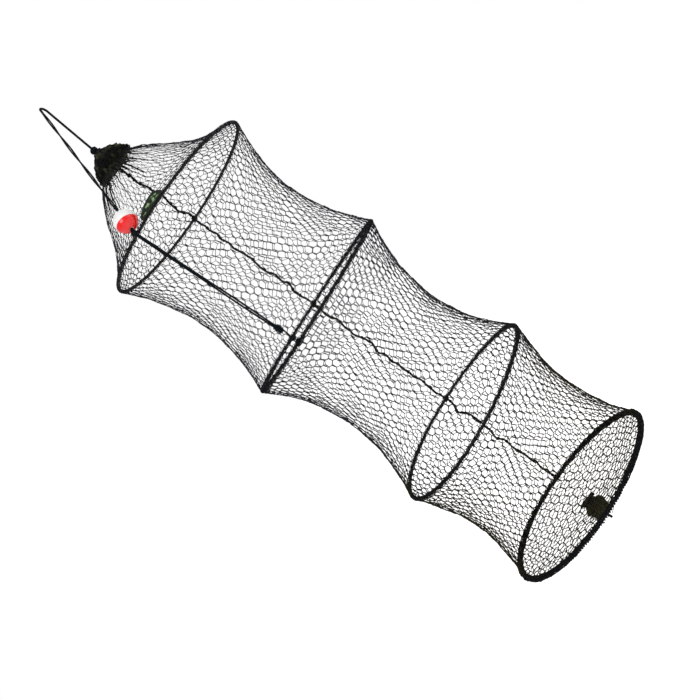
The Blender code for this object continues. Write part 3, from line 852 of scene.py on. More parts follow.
def moulded_plastic(tree, colour, roughness):
    """Moulded polystyrene: glossy, with a slight waviness and fine scuffs from the water."""
    place = add_node(tree, "ShaderNodeNewGeometry")
    # Scuffs are about 4 mm long
    scuffs = add_node(tree, "ShaderNodeTexNoise", {"Scale": 260.0, "Detail": 5.0}, {"Vector": place})
    rough = add_node(
        tree, "ShaderNodeMapRange",
        {"From Min": 0.3, "From Max": 0.75, "To Min": roughness * 0.8, "To Max": roughness * 1.5},
        {"Value": scuffs})
    # Colour is a shade thinner in patches of 15 mm, as in thin mouldings
    patches = add_node(tree, "ShaderNodeTexNoise", {"Scale": 65.0, "Detail": 1.0}, {"Vector": place})
    tone = add_node(
        tree, "ShaderNodeMapRange", {"From Min": 0.3, "From Max": 0.7, "To Min": 0.94, "To Max": 1.04},
        {"Value": patches})
    shade = add_node(
        tree, "ShaderNodeMix", {0: 1.0, 6: colour}, {7: tone}, data_type="RGBA", blend_type="MULTIPLY")
    bump = add_node(tree, "ShaderNodeBump", {"Strength": 0.08, "Distance": 0.0005}, {"Height": patches})
    end_finish(tree, {"IOR": 1.55}, {"Base Color": shade, "Roughness": rough, "Normal": bump})


def woven_label(tree, ground, mottled):
    """Woven polyester label: a dense twill with a pale mottle woven in and a dark selvedge."""
    lay = add_node(tree, "ShaderNodeUVMap", uv_map="lay")
    # Mottles are about 5 mm, drawn out along the label
    stretched = add_node(tree, "ShaderNodeVectorMath", {1: (0.6, 1.0, 1.0)}, {0: lay}, operation="MULTIPLY")
    blots = add_node(tree, "ShaderNodeTexNoise", {"Scale": 190.0, "Detail": 2.0}, {"Vector": stretched})
    shown = add_node(
        tree, "ShaderNodeMapRange", {"From Min": 0.50, "From Max": 0.58}, {"Value": blots},
        interpolation_type="SMOOTHSTEP")
    parts = add_node(tree, "ShaderNodeSeparateXYZ", links={0: lay})
    # The mottle fades out towards the ends and the long edges
    for axis, width, bare, full in (("Y", LABEL[1], 0.34, 0.16), ("X", LABEL[0], 0.42, 0.34)):
        across = add_node(
            tree, "ShaderNodeMath", {1: width / 2}, {0: parts.outputs[axis]}, operation="SUBTRACT")
        off = add_node(tree, "ShaderNodeMath", links={0: across}, operation="ABSOLUTE")
        inside = add_node(
            tree, "ShaderNodeMapRange", {"From Min": width * bare, "From Max": width * full}, {"Value": off})
        shown = add_node(tree, "ShaderNodeMath", links={0: shown, 1: inside}, operation="MULTIPLY")
    base = add_node(tree, "ShaderNodeMix", {6: ground, 7: mottled}, {0: shown}, data_type="RGBA")
    # Ribs of the weave are drawn 0.8 mm apart, coarser than the real 0.3 mm
    ribs = add_node(
        tree, "ShaderNodeTexWave", {"Scale": math.pi / (20 * 0.8 * MM), "Distortion": 0.5},
        {"Vector": lay}, bands_direction="DIAGONAL")
    bump = add_node(
        tree, "ShaderNodeBump", {"Strength": 0.5, "Distance": 0.0003}, {"Height": ribs.outputs["Fac"]})
    end_finish(
        tree, {"Roughness": 0.75, "IOR": 1.57, "Specular IOR Level": 0.25},
        {"Base Color": base, "Normal": bump})


# Each finish has its maker, the colours that it takes, and its pitch, lift or roughness; lift is how bright
# the highlight painted on twine crowns goes
FINISHES = {
    "machine made nylon net": (dyed_net_twine, ("net", "net_low")),
    "silted nylon net": (dyed_net_twine, ("net_low", "net_silted")),
    "twisted nylon lashing": (laid_twine, ("lashing",), 2.4 * MM, 1.7),
    "twisted olive lacing": (laid_twine, ("lacing",), 4 * MM, 1.8),
    "braided polyester cord": (braided_cord, ("cord",)),
    "vinyl coated steel wire": (coated_wire, ("wire",)),
    "bunched multifilament nylon": (bunched_net, ("gather", "gather_painted_highlight")),
    "moulded white polystyrene": (moulded_plastic, ("float_white",), 0.22),
    "moulded red polystyrene": (moulded_plastic, ("float_red",), 0.19),
    "extruded white polystyrene": (moulded_plastic, ("float_white",), 0.4),
    "woven polyester label": (woven_label, ("label", "label_mottle")),
}


def finish(name):
    """The finish of that name, made when it is first asked for."""
    made = bpy.data.materials.get(name)
    if not made:
        made = bpy.data.materials.new(name)
        maker, names, *numbers = FINISHES[name]
        chosen = bpy.context.scene.keepnet_colours
        maker(new_tree(made), *[(*getattr(chosen, colour), 1.0) for colour in names], *numbers)
    return made


class KEEPNET_OT_camera(bpy.types.Operator):
    """Stand the camera where the photograph was taken."""

    bl_idname = "keepnet.camera"
    bl_label = "Camera"

    def execute(self, context):
        lens = bpy.data.cameras.new("camera")
        lens.lens = LENS
        lens.sensor_width = SENSOR
        lens.clip_start = 0.01
        lens.clip_end = 50.0
        camera = bpy.data.objects.new("camera", lens)
        across = HANGS_TOWARDS[0] * CAMERA_DOWN + HANGS_TOWARDS[1] * CAMERA_RIGHT
        upward = -HANGS_TOWARDS[1] * CAMERA_DOWN + HANGS_TOWARDS[0] * CAMERA_RIGHT
        turned = Matrix((across, upward, -CAMERA_AHEAD)).transposed().to_4x4()
        camera.matrix_world = Matrix.Translation(CAMERA_PLACE) @ turned
        context.scene.collection.objects.link(camera)
        context.scene.camera = camera
        return {"FINISHED"}


class KEEPNET_OT_cords(bpy.types.Operator):
    """Lay the hanging cord, the float cord and the doubled cord below the float."""

    bl_idname = "keepnet.cords"
    bl_label = "Cords"

    def execute(self, context):
        sizes = context.scene.keepnet_sizes
        middle, level, bend, leave, start, down = over_hook(sizes.cord)
        first = start + HANGER_PAST_HOOK * down
        points = [MOUTH_KNOT, MOUTH_KNOT + KNOT_HALF * UP, middle - bend * level]
        for part in shares(14)[1:]:
            points.append(middle + bend * circle(level, UP, mix(math.pi, leave, part)))
        points.append(first)
        self.lay("hanger_cord_braid", "hanger_cord", points, sizes.cord, "mouth")

        pole = float_centre() + FLOAT_DIAMETER / 2 * down
        head = HITCH + KNOT_HALF / 2 * UP
        swing = (head - pole).length / 3
        route = [first, pole]
        for part in shares(8)[1:]:
            left = 1 - part
            route.append(
                left ** 3 * pole + 3 * left ** 2 * part * (pole + swing * down)
                + 3 * left * part ** 2 * (head + swing * UP) + part ** 3 * head)
        route.append(HITCH - KNOT_HALF * 0.7 * UP)
        route = spread_evenly(route, 2 * MM)
        top_of_run = float_centre() - (FLOAT_DIAMETER / 2 + FLOAT_SLIDE) * down
        across = down.cross(Vector((0, 1, 0))).normalized()
        beside = down.cross(across)
        for number, side in ((1, 1), (2, -1)):
            points = []
            for spot, point in enumerate(route):
                passed = spot * 2 * MM + HANGER_PAST_HOOK
                turn = math.pi * (passed - FLOAT_CORD_ABREAST) / FLOAT_CORD_HALF_TURN
                points.append(point + circle(across, beside, turn) * (side * sizes.float_cord * 0.57))
            self.lay(
                f"float_cord_strand_{number}", "float_cord", points, sizes.float_cord,
                "mouth", "ring_1", start=first, end=top_of_run)

        top = HITCH - KNOT_HALF * 0.6 * UP
        bottom = END_KNOT - END_KNOT_HALF * UP
        sideways = UP.cross(bottom).normalized()
        for hand, side in (("left", 1), ("right", -1)):
            points = []
            for part in shares(24):
                # The two strands stand apart over the lower half
                gap = math.sin(math.pi * max(0.0, (part - 0.42) / 0.58)) ** 2
                apart = sizes.lower_cord * (0.52 + 0.20 * gap)
                points.append(mix(top, bottom, part) + side * apart * sideways)
            self.lay(
                f"lower_cord_braid_{hand}", f"lower_cord_{hand}", points, sizes.lower_cord,
                "ring_1", "ring_2", start=HITCH, end=END_KNOT - 0.02 * UP)
        return {"FINISHED"}

    def lay(self, name, node, points, thickness, *bodies, start=None, end=None):
        line = spread_evenly(points, thickness * 0.32)
        shape = Shape()
        shape.strand(line, thickness * 1.14, 12, relief=braid(thickness * 1.9))
        made = shape.fit(name, "braided polyester cord", node, "braided_cord", *bodies, start=start, end=end)


class KEEPNET_OT_knots(bpy.types.Operator):
    """Tie the knots of the cords and the bindings of the gathers."""

    bl_idname = "keepnet.knots"
    bl_label = "Knots and bindings"

    def execute(self, context):
        # A drawn-up knot grips the cord that fills the middle of it
        for node, centre, radius, half, cord, body in (
            ("mouth_knot", MOUTH_KNOT, 4.0 * MM, KNOT_HALF * 0.75, 3.0 * MM, "mouth"),
            ("hitch_knot", HITCH, 2.9 * MM, KNOT_HALF * 0.68, 2.5 * MM, "ring_1"),
        ):
            shape = Shape()
            shape.bead(centre, UP, UP.orthogonal(), half + cord * 0.3, radius)
            shape.strand(knot_line(centre, UP, radius, half, cord), cord, 10, True, braid(4.5 * MM))
            self.tie(shape, node, body, "braided_cord")
        self.tie(self.end_knot(), "end_knot", "ring_2", "braided_cord")

        drop, radius = NECKS[0]
        line = coil(MOUTH_SHIFT - (drop + 1.2 * MM) * UP, UP, radius, 2.1 * MM, 2.2, 32)
        shape = Shape()
        shape.strand(spread_evenly(line, 0.8 * MM), 2.3 * MM, 10, relief=braid(5 * MM))
        self.tie(shape, "drawstring", "mouth", "braided_cord")

        shape = Shape()
        shape.strand(wraps(1, LOWER_CORD_ANGLE, 2.0 * MM, 16), 1.5 * MM, 8, relief=braid(4 * MM))
        self.tie(shape, "hoop_tie", "ring_2", "twisted_nylon_twine")
        self.tie(self.tie_strand(), "tie_strand", "ring_2", "twisted_nylon_twine")
        return {"FINISHED"}

    def tie(self, shape, node, body, slot):
        """Puts a knot or a binding in place of its node."""
        shape.fit(f"{node}_cord", "braided polyester cord", node, slot, body)

    def end_knot(self):
        """A coil round both cords, and a strand that passes over it and locks it."""
        shape = Shape()
        axis = (HITCH - END_KNOT).normalized()
        line = coil(END_KNOT, axis, 3.5 * MM, 2.5 * MM, 4.6, 16)
        shape.strand(line, 2.5 * MM, 10, relief=braid(4.5 * MM))
        out = outward_of(END_KNOT)[0]
        level = axis.cross(out)
        lock = []
        for part in shares(8):
            lock.append(
                END_KNOT + axis * mix(-6.5, 6.5, part) * MM
                + out * (2.6 + 2.6 * math.sin(math.pi * part)) * MM
                + level * 1.4 * MM * math.cos(2.4 * part))
        shape.strand(lock, 2.3 * MM, 10, relief=braid(4.5 * MM))
        return shape

    def tie_strand(self):
        """A strand from the end knot down to a small knot, and two legs from it round the hoop."""
        shape = Shape()
        spot = on_hoop(1, LOWER_CORD_ANGLE + 0.3, 4.6 * MM, TIE_KNOT_ABOVE_HOOP)
        sideways = UP.cross(spot).normalized()
        head = END_KNOT - END_KNOT_HALF * 0.7 * UP + sideways * 2.4 * MM
        shape.strand([head.lerp(spot, part) for part in shares(8)], 2.3 * MM, 8, relief=braid(4 * MM))
        for axis, radius, half, cord, thick in (
            (Vector((0.3, 0.2, 1)), 3.1 * MM, 3.0 * MM, 2.4 * MM, 2.5 * MM),
            (Vector((1, -0.4, 0.3)), 2.6 * MM, 2.6 * MM, 2.0 * MM, 2.2 * MM),
        ):
            shape.strand(knot_line(spot, axis, radius, half, cord), thick, 9, True)
        foot = on_hoop(1, LOWER_CORD_ANGLE, 5.2 * MM, 1.0 * MM)
        for side in (-1, 1):
            leg = []
            for part in shares(6):
                leg.append(spot.lerp(foot, part) + sideways * side * 1.3 * MM * math.sin(math.pi * part))
            shape.strand(leg, 1.9 * MM, 8, relief=braid(4 * MM))
        return shape


class KEEPNET_OT_hoops(bpy.types.Operator):
    """Coat the hoops and bind the edge of the net to each with a close lashing."""

    bl_idname = "keepnet.hoops"
    bl_label = "Hoops and lashings"

    def execute(self, context):
        sizes = context.scene.keepnet_sizes
        for number in range(len(HOOP_DROPS)):
            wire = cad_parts[f"hoop_{number + 1}"]
            wire.data.materials.clear()
            wire.data.materials.append(finish("vinyl coated steel wire"))
            self.lash(number, sizes).fit(
                f"lashing_twine_{number + 1}", "twisted nylon lashing", f"lashing_{number + 1}",
                "twisted_nylon_twine", f"ring_{number + 1}")
        return {"FINISHED"}

    def lash(self, number, sizes):
        """Edge cords lie along the wire, and the lashing winds over them with a bump at each mesh."""
        shape = Shape()
        chance = random.Random(40 + number)
        heavy = LASHING_WEIGHTS[number]
        edge = sizes.net_twine * 0.85 * heavy
        twine = sizes.lashing_twine * heavy
        around_wire = WIRE / 2 + edge * 0.38
        length = 2 * math.pi * HOOP_RADIUS
        turns = round(length / EDGE_CORD_TURN)
        for start in (0.0, 0.34, 0.67):
            line = turns_on_hoop(number, 0.0, 360.0, turns, around_wire, 22, start)
            shape.strand(line[:-1], edge, 5, True)
        turns = round(length / sizes.lashing_pitch)
        bumps = [chance.uniform(-0.15, 0.35) * heavy * MM for _ in range(turns + 1)]
        shifts = [chance.uniform(-0.25, 0.25) for _ in range(turns + 1)]

        def lumps(angle):
            spot = angle / 360 * turns
            low = int(spot) % turns
            return mix(bumps[low], bumps[(low + 1) % turns], spot - int(spot))

        radius = WIRE / 2 + edge * 0.55 + twine * 0.38
        line = turns_on_hoop(number, 0.0, 360.0, turns, radius, 10, 0.25, lumps)
        shape.strand(line[:-1], twine, 5, True)
        # A half hitch stands out on the outer side over every mesh
        for mesh in range(sizes.columns):
            angle = 360 * (mesh + 0.5 * shifts[mesh % turns]) / sizes.columns
            turn = chance.uniform(-0.6, 0.6)
            spot = on_hoop(number, angle, radius * math.cos(turn), radius * math.sin(turn))
            axis = (on_hoop(number, angle + 1) - on_hoop(number, angle - 1)).normalized()
            out = (spot - on_hoop(number, angle)).normalized()
            across = (out - axis * out.dot(axis)).normalized()
            hitch = chance.uniform(0.8, 1.15) * heavy * MM
            shape.bead(spot, axis, across, 1.5 * hitch, hitch)
        return shape


class KEEPNET_OT_nets(bpy.types.Operator):
    """Knot the mouth net, the three bays and the bottom net."""

    bl_idname = "keepnet.nets"
    bl_label = "Nets"

    def execute(self, context):
        sizes = context.scene.keepnet_sizes
        shape = Shape()
        mesh_net(shape, mouth_place, MOUTH_ROWS, MOUTH_LEG, MOUTH_WEIGHT, sizes, 3, MOUTH_THIN_INSIDE)
        self.hang(shape, "mouth_net_twine", "mouth_net", "mouth", "ring_1", MOUTH_RIM[0], HOOP_DROPS[0])
        for bay, rows in enumerate(BAY_ROWS):
            shape = Shape()
            mesh_net(shape, bay_place(bay), rows, BAY_LEG, BAY_WEIGHTS[bay], sizes, 11 + bay)
            self.hang(
                shape, f"bay_net_twine_{bay + 1}", f"bay_net_{bay + 1}",
                f"ring_{bay + 1}", f"ring_{bay + 2}", HOOP_DROPS[bay], HOOP_DROPS[bay + 1])
        shape = Shape()
        bottom_net(shape, sizes, 21)
        shape.fit("bottom_net_twine", "silted nylon net", "bottom_net", "knotted_nylon_net", "ring_4")
        return {"FINISHED"}

    def hang(self, shape, name, node, upper, lower, top, foot):
        """Makes a panel in place of its node between an upper body and the next; it is fixed where it stands
        and tied to neither.
        """
        shape.fit(
            name, "machine made nylon net", node, "knotted_nylon_net", upper, lower,
            start=(0, 0, -top), end=(0, 0, -foot))


class KEEPNET_OT_gathers(bpy.types.Operator):
    """Bunch the net at the mouth and at the bottom, and bind the bottom."""

    bl_idname = "keepnet.gathers"
    bl_label = "Gathers"

    def execute(self, context):
        tuft = [(HOOP_DROPS[-1] + below, radius) for below, radius in TUFT]
        for node, body, bunch in (
            ("mouth_gather", "mouth", self.bunch(GATHER, MOUTH_SHIFT, 16, 0.12, 430, 51, 46)),
            ("bottom_gather", "ring_4", self.bunch(tuft, Vector(), 8, 0.06, 150, 52)),
        ):
            bunch.fit(f"{node}_net", "bunched multifilament nylon", node, "bunched_nylon_net", body)

        below, radius = NECKS[1]
        shape = Shape()
        line = coil(-(HOOP_DROPS[-1] + below) * UP, UP, radius, 2.0 * MM, 3.4, 28)
        shape.strand(line, 2.0 * MM, 8, relief=ply(3, 6 * MM, 0.16))
        shape.fit("bottom_binding", "twisted nylon lashing", "bottom_tie", "twisted_nylon_twine", "ring_4")

        top = (2 * MM - tuft[-1][0]) * UP
        shape = Shape()
        for lean, side, length, thick in TAILS:
            line = []
            for part in shares(15):
                line.append(top + Vector((lean * part ** 1.3, side * (1 + part), -(length + 2 * MM) * part)))
            shape.strand(line, thick, 9, relief=ply(3, 6 * MM, 0.14))
        shape.fit(
            "bottom_tail_ends", "twisted nylon lashing", "bottom_tail", "twisted_nylon_twine", "ring_4")
        return {"FINISHED"}

    def bunch(self, profile, shift, pleats, depth, loops, seed, runs=0):
        """A pleated core, loose loops all over it, and meshes drawn together that run on from it."""
        chance = random.Random(seed)
        shape = Shape()
        sides, levels = pleats * 6, 26
        rows = []
        for share in shares(levels):
            drop, radius = along(profile, share)
            row = []
            for side in range(sides):
                angle = 360 * side / sides
                fold = 1 + depth * math.cos(math.radians(angle) * pleats)
                point = around(angle, radius * fold, -drop) + shift
                rough = noise.noise(point * 170 + Vector((seed, 0, 0))) * 4.0 * MM
                rough += noise.noise(point * 430) * 1.8 * MM
                row.append(point + outward_of(point - shift)[0] * rough)
            rows.append(row)
        shape.grid(rows, closed=True)
        shape.face(tuple(range(sides)))
        shape.face(tuple(levels * sides + side for side in reversed(range(sides))))
        for _ in range(loops):
            self.loop(shape, profile, shift, chance)
        for _ in range(runs):
            angle = chance.uniform(0, 360)
            reach = chance.uniform(0.06, 0.26)
            drift = chance.uniform(-5, 5)
            line = []
            for part in shares(13):
                spot = mouth_place(mix(0.14, MOUTH_GATHERED + reach, part), angle + drift * part)
                line.append(spot + noise.noise_vector(spot * 160) * 1.6 * MM)
            thin_strand(shape, line, line[-1] - line[0], [mix(1.2, 0.5, part) * MM for part in shares(13)])
        return shape

    def loop(self, shape, profile, shift, chance):
        """One loose loop of twine, which stands off the bunch and leans to a side."""
        part = chance.uniform(0.12, 1.0)
        drop, radius = along(profile, part)
        angle = chance.uniform(0, 360)
        seat = around(angle, radius * 1.02, -drop) + shift
        out = Vector((seat.x - shift.x, seat.y, -0.25 * radius)).normalized()
        level = out.cross(-UP).normalized()
        long = chance.uniform(4.0, 10.0) * MM
        high = chance.uniform(1.0, 4.2) * MM * (1.3 if part > 0.85 else 1.0)
        runs_to = (level * chance.uniform(-1.0, 1.0) * 0.9 - UP).normalized()
        line = []
        for step in shares(7):
            turn = math.pi * step
            line.append(
                seat + runs_to * long * (0.5 - 0.5 * math.cos(turn))
                + out * (math.sin(turn) * high - 0.5 * MM)
                + level * math.sin(2 * turn) * chance.uniform(-0.6, 0.6) * MM)
        shape.strand(line, chance.uniform(0.9, 1.6) * MM, 4)


class KEEPNET_OT_float(bpy.types.Operator):
    """Turn the two halves of the ball float and the tube that the cord runs through."""

    bl_idname = "keepnet.float"
    bl_label = "Ball float"

    def execute(self, context):
        cord = context.scene.keepnet_sizes.cord
        down = over_hook(cord)[5]
        outer = FLOAT_DIAMETER / 2
        bore = cord / 2 + 0.6 * MM
        hole = bore + 1.0 * MM
        reach = math.sqrt(outer ** 2 - hole ** 2) - 0.7 * MM
        for name, look, node, slot, profile in (
            ("float_white_cap", "moulded white polystyrene", "float_white_shell", "gloss_white_plastic",
             self.cap(outer, hole, 0.01 - FLOAT_SEAM, 1)),
            ("float_red_cap", "moulded red polystyrene", "float_red_shell", "gloss_red_plastic",
             self.cap(outer, hole, FLOAT_SEAM + 0.01, -1)),
            ("float_tube", "extruded white polystyrene", "float_bore_tube", "moulded_bore_plastic",
             [(bore, -reach), (hole, -reach), (hole, reach), (bore, reach)]),
        ):
            made = self.turn(profile, down).fit(name, look, node, slot, "float")
            made.data.set_sharp_from_angle(angle=math.radians(35))
        return {"FINISHED"}

    def cap(self, outer, hole, first, side):
        """Closed profile of one thin shell, from its seam to its hole and back inside."""
        groove = first - 0.008
        lip = outer - 0.25 * MM
        profile = [(lip * math.cos(groove), side * lip * math.sin(groove))]
        for radius, parts in ((outer, shares(22)), (outer - FLOAT_WALL, shares(22)[::-1])):
            for part in parts:
                turn = mix(first, math.acos(hole / radius), part)
                profile.append((radius * math.cos(turn), side * radius * math.sin(turn)))
        return profile if side > 0 else profile[::-1]

    def turn(self, profile, down):
        """Revolves a closed profile about the cord."""
        shape = Shape()
        sides = 72
        turned = (-down).to_track_quat("Z", "Y").to_matrix()
        centre = float_centre()
        rows = []
        for radius, height in reversed(profile):
            row = []
            for side in range(sides):
                angle = 2 * math.pi * side / sides
                spot = Vector((radius * math.cos(angle), radius * math.sin(angle), height))
                row.append(centre + turned @ spot)
            rows.append(row)
        shape.grid(rows, closed=True)
        top = (len(rows) - 1) * sides
        for side in range(sides):
            beside = (side + 1) % sides
            shape.face((top + side, side, beside, top + beside))
        return shape


class KEEPNET_OT_seam(bpy.types.Operator):
    """Lace the seam down the back of the net and tie it off at each hoop."""

    bl_idname = "keepnet.seam"
    bl_label = "Seam lacing"

    def execute(self, context):
        sizes = context.scene.keepnet_sizes
        spans = [(mouth_place, 0.12, "mouth", MOUTH_RIM[0], HOOP_DROPS[0])]
        for bay in range(len(BAY_WAISTS)):
            spans.append((bay_place(bay), 0.0, f"ring_{bay + 1}", HOOP_DROPS[bay], HOOP_DROPS[bay + 1]))
        for number, (place, first, body, top, foot) in enumerate(spans):
            chance = random.Random(70 + number)
            line = spread_evenly(self.run(place, first, number), 1.1 * MM)
            shape = Shape()
            shape.strand(line, sizes.lacing * 1.5, 7, relief=ply(2, 6 * MM, 0.22))
            self.hitches(shape, line, sizes, chance)
            shape.fit(
                f"seam_lacing_twine_{number + 1}", "twisted olive lacing", f"seam_lacing_{number + 1}",
                "olive_lacing_twine", body, f"ring_{number + 1}", start=(0, 0, -top), end=(0, 0, -foot))
            self.tie_off(number, chance).fit(
                f"seam_tie_knot_{number + 1}", "twisted olive lacing", f"seam_tie_{number + 1}",
                "olive_lacing_twine", f"ring_{number + 1}")
        return {"FINISHED"}

    def run(self, place, first, number):
        """The line of the lacing, just outside the net, in small uneven waves."""
        points = []
        count = 90
        for step in range(count + 1):
            flat = place(mix(first, 1.0, step / count), SEAM_ANGLE)
            held = min(1.0, step / 8, (count - step) / 8)
            spot = flat.z / MM
            wave = 1.3 * math.sin(spot / 9.0) + 0.8 * math.sin(spot / 3.7 + number)
            wave += 6.5 * noise.noise(Vector((spot / 26, number, 0.0)))
            out, level = outward_of(flat)
            lift = SEAM_OUT + 0.5 * MM * math.sin(spot / 5.3)
            points.append(flat + level * wave * MM * held + out * lift)
        return points

    def hitches(self, shape, line, sizes, chance):
        """A second strand spirals round the first, and a small hitch grips each mesh that it passes."""
        around_it = []
        for spot, point in enumerate(line):
            across, beside = square_to(line[min(spot + 1, len(line) - 1)] - line[max(spot - 1, 0)])[1:]
            away = sizes.lacing * (0.55 + 0.35 * noise.noise(Vector((spot * 0.12, 0.0, 5.0))))
            around_it.append(point + circle(across, beside, spot * 0.5) * away)
        shape.strand(around_it, sizes.lacing * 0.8, 5)
        passed = 0.0
        wanted = chance.uniform(6, 10) * MM
        for spot in range(3, len(line) - 3):
            passed += (line[spot] - line[spot - 1]).length
            if passed < wanted:
                continue
            passed = 0.0
            wanted = chance.uniform(9, 24) * MM
            tangent = (line[spot + 1] - line[spot - 1]).normalized()
            hitch = chance.uniform(0.9, 1.25)
            knot = knot_line(line[spot], tangent, 1.7 * MM * hitch, 1.7 * MM * hitch, 1.1 * MM, each=40)
            shape.strand(knot, 1.2 * MM * hitch, 5, True)

    def tie_off(self, number, chance):
        """Turns round the hoop and a small untidy knot where the lacing crosses it."""
        shape = Shape()
        shape.strand(wraps(number, SEAM_ANGLE, 2.3 * MM, 14), 1.8 * MM, 7, relief=ply(2, 4 * MM, 0.2))
        spot = on_hoop(number, SEAM_ANGLE, 4.6 * MM, 0.6 * MM)
        shape.strand(knot_line(spot, Vector((0.3, 0.2, 1)), 2.3 * MM, 2.4 * MM, 1.6 * MM), 1.8 * MM, 7, True)
        for _ in range(3):
            spreads = chance.uniform(-1, 1), chance.uniform(0.1, 0.5), chance.uniform(-1, 1)
            lean = Vector(spreads).normalized()
            end = [spot + lean * 7 * MM * part - 1.2 * MM * part ** 2 * UP for part in shares(5)]
            shape.strand(end, 1.3 * MM, 6)
        return shape


class KEEPNET_OT_label(bpy.types.Operator):
    """Fold the woven label over the edge cord above the first hoop."""

    bl_idname = "keepnet.label"
    bl_label = "Label"

    def execute(self, context):
        length, height, thickness = LABEL
        lean = math.radians(LABEL_LEAN)
        columns, rows = 40, 14
        half = math.degrees(length / 2 / HOOP_RADIUS)
        skin = thickness * 0.4
        fold = [(part * height, -skin) for part in shares(rows)]
        fold += [(height + skin * math.sin(turn), -skin * math.cos(turn)) for turn in (0.6, 1.2, 1.9, 2.5)]
        fold += [(part * height, skin) for part in reversed(shares(rows))]
        table = []
        for rise, face in fold:
            line = []
            for part in shares(columns):
                to_end = abs(2 * part - 1)
                curl = 0.9 * MM * math.sin(part * 7.0 + rise * 160) * (rise / height)
                curl += 1.2 * MM * (to_end ** 4) * (rise / height)
                high = rise * (1 - 0.75 * to_end ** 3)
                outward = LABEL_FOOT[0] - high * math.sin(lean) + (face + curl) * math.cos(lean)
                upward = LABEL_FOOT[1] + high * math.cos(lean) + (face + curl) * math.sin(lean)
                line.append(on_hoop(0, LABEL_ANGLE + mix(-half, half, part), outward, upward))
            table.append(line)
        shape = Shape()
        shape.grid(table, lay=lambda row, spot: (length * spot / columns, fold[row][0]))
        made = shape.fit("woven_label_fold", "woven polyester label", "label", "woven_label", "ring_1")
        cloth = made.modifiers.new("cloth", "SOLIDIFY")
        cloth.thickness = 0.35 * MM
        cloth.offset = 0.0
        return {"FINISHED"}


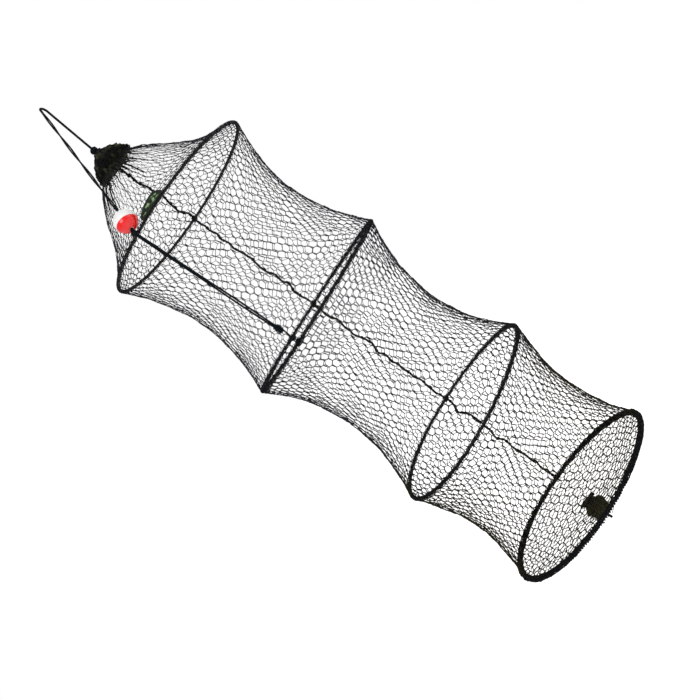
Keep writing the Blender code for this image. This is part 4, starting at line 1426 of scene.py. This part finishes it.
class KEEPNET_OT_stage(bpy.types.Operator):
    """Set out the floor, the pale surroundings and the soft lamps."""

    bl_idname = "keepnet.stage"
    bl_label = "Floor and lamps"

    def execute(self, context):
        scene = context.scene
        shape = Shape()
        for x, y in ((-1, -1), (1, -1), (1, 1), (-1, 1)):
            shape.points.append(Vector((x * FLOOR_HALF, y * FLOOR_HALF, -FLOOR_DROP)))
        shape.face((0, 1, 2, 3))
        paint = bpy.data.materials.new("matt floor paint")
        self.floor_paint(new_tree(paint), scene.keepnet_colours.floor)
        shape.piece("floor", paint, smooth=False)
        scene.world = bpy.data.worlds.new("studio")
        self.surroundings(new_tree(scene.world))
        middle = Vector((0, 0, -0.5))
        for name, towards, distance, width, power in LAMPS:
            lamp = bpy.data.lights.new(name, "AREA")
            lamp.shape = "DISK"
            lamp.size = width
            lamp.energy = power
            held = bpy.data.objects.new(name, lamp)
            reach = Vector(towards).normalized() * distance
            turned = reach.to_track_quat("Z", "Y").to_matrix().to_4x4()
            held.matrix_world = Matrix.Translation(middle + reach) @ turned
            scene.collection.objects.link(held)
        scene.view_settings.view_transform = "Standard"
        return {"FINISHED"}

    def floor_paint(self, tree, colour):
        """Matt white paint that keeps the shadow, with a glow for the camera that whitens the rest of it."""
        # The paint is rolled on, with a grain of 11 mm
        grain = add_node(tree, "ShaderNodeTexNoise", {"Scale": 90.0, "Detail": 3.0})
        rough = add_node(tree, "ShaderNodeMapRange", {"To Min": 0.8, "To Max": 0.95}, {"Value": grain})
        paint = add_node(tree, "ShaderNodeBsdfDiffuse", {"Color": (*colour, 1.0)}, {"Roughness": rough})
        ray = add_node(tree, "ShaderNodeLightPath").outputs
        seen = add_node(
            tree, "ShaderNodeMath", links={0: ray["Is Camera Ray"], 1: ray["Is Glossy Ray"]},
            operation="MAXIMUM")
        level = add_node(tree, "ShaderNodeMath", {1: 0.6}, {0: seen}, operation="MULTIPLY")
        glow = add_node(tree, "ShaderNodeEmission", links={"Strength": level})
        both = add_node(tree, "ShaderNodeAddShader", links={0: paint, 1: glow})
        add_node(tree, "ShaderNodeOutputMaterial", links={"Surface": both})

    def surroundings(self, tree):
        """White where the camera, gloss or glass looks, and plain soft light for everything else."""
        ray = add_node(tree, "ShaderNodeLightPath").outputs
        seen = add_node(
            tree, "ShaderNodeMath", links={0: ray["Is Camera Ray"], 1: ray["Is Transmission Ray"]},
            operation="MAXIMUM")
        level = add_node(tree, "ShaderNodeMapRange", {"To Min": 0.62, "To Max": 1.0}, {"Value": seen})
        sky = add_node(
            tree, "ShaderNodeBackground", {"Color": (1.0, 1.0, 1.0, 1.0)}, {"Strength": level})
        add_node(tree, "ShaderNodeOutputWorld", links={"Surface": sky})


OPERATORS = (
    KEEPNET_OT_camera,
    KEEPNET_OT_cords,
    KEEPNET_OT_nets,
    KEEPNET_OT_hoops,
    KEEPNET_OT_gathers,
    KEEPNET_OT_knots,
    KEEPNET_OT_float,
    KEEPNET_OT_seam,
    KEEPNET_OT_label,
    KEEPNET_OT_stage,
)


class KEEPNET_PT_panel(bpy.types.Panel):
    """Lists the pieces of the keepnet with their sizes and colours."""

    bl_idname = "KEEPNET_PT_panel"
    bl_label = "Keepnet"
    bl_space_type = "VIEW_3D"
    bl_region_type = "UI"
    bl_category = "Keepnet"

    def draw(self, context):
        layout = self.layout
        for operator in OPERATORS:
            layout.operator(operator.bl_idname)
        for group in (context.scene.keepnet_sizes, context.scene.keepnet_colours):
            box = layout.box()
            for name in group.__annotations__:
                box.prop(group, name)


CLASSES = (KeepnetSizes, KeepnetColours) + OPERATORS + (KEEPNET_PT_panel,)


def register():
    for made in CLASSES:
        bpy.utils.register_class(made)
    bpy.types.Scene.keepnet_sizes = bpy.props.PointerProperty(type=KeepnetSizes)
    bpy.types.Scene.keepnet_colours = bpy.props.PointerProperty(type=KeepnetColours)


def unregister():
    del bpy.types.Scene.keepnet_colours
    del bpy.types.Scene.keepnet_sizes
    for made in reversed(CLASSES):
        bpy.utils.unregister_class(made)


def main():
    register()
    bpy.ops.keepnet.camera()
    bpy.ops.keepnet.cords()
    bpy.ops.keepnet.nets()
    bpy.ops.keepnet.hoops()
    bpy.ops.keepnet.gathers()
    bpy.ops.keepnet.knots()
    bpy.ops.keepnet.float()
    bpy.ops.keepnet.seam()
    bpy.ops.keepnet.label()
    bpy.ops.keepnet.stage()


if __name__ == "__main__":
    main()
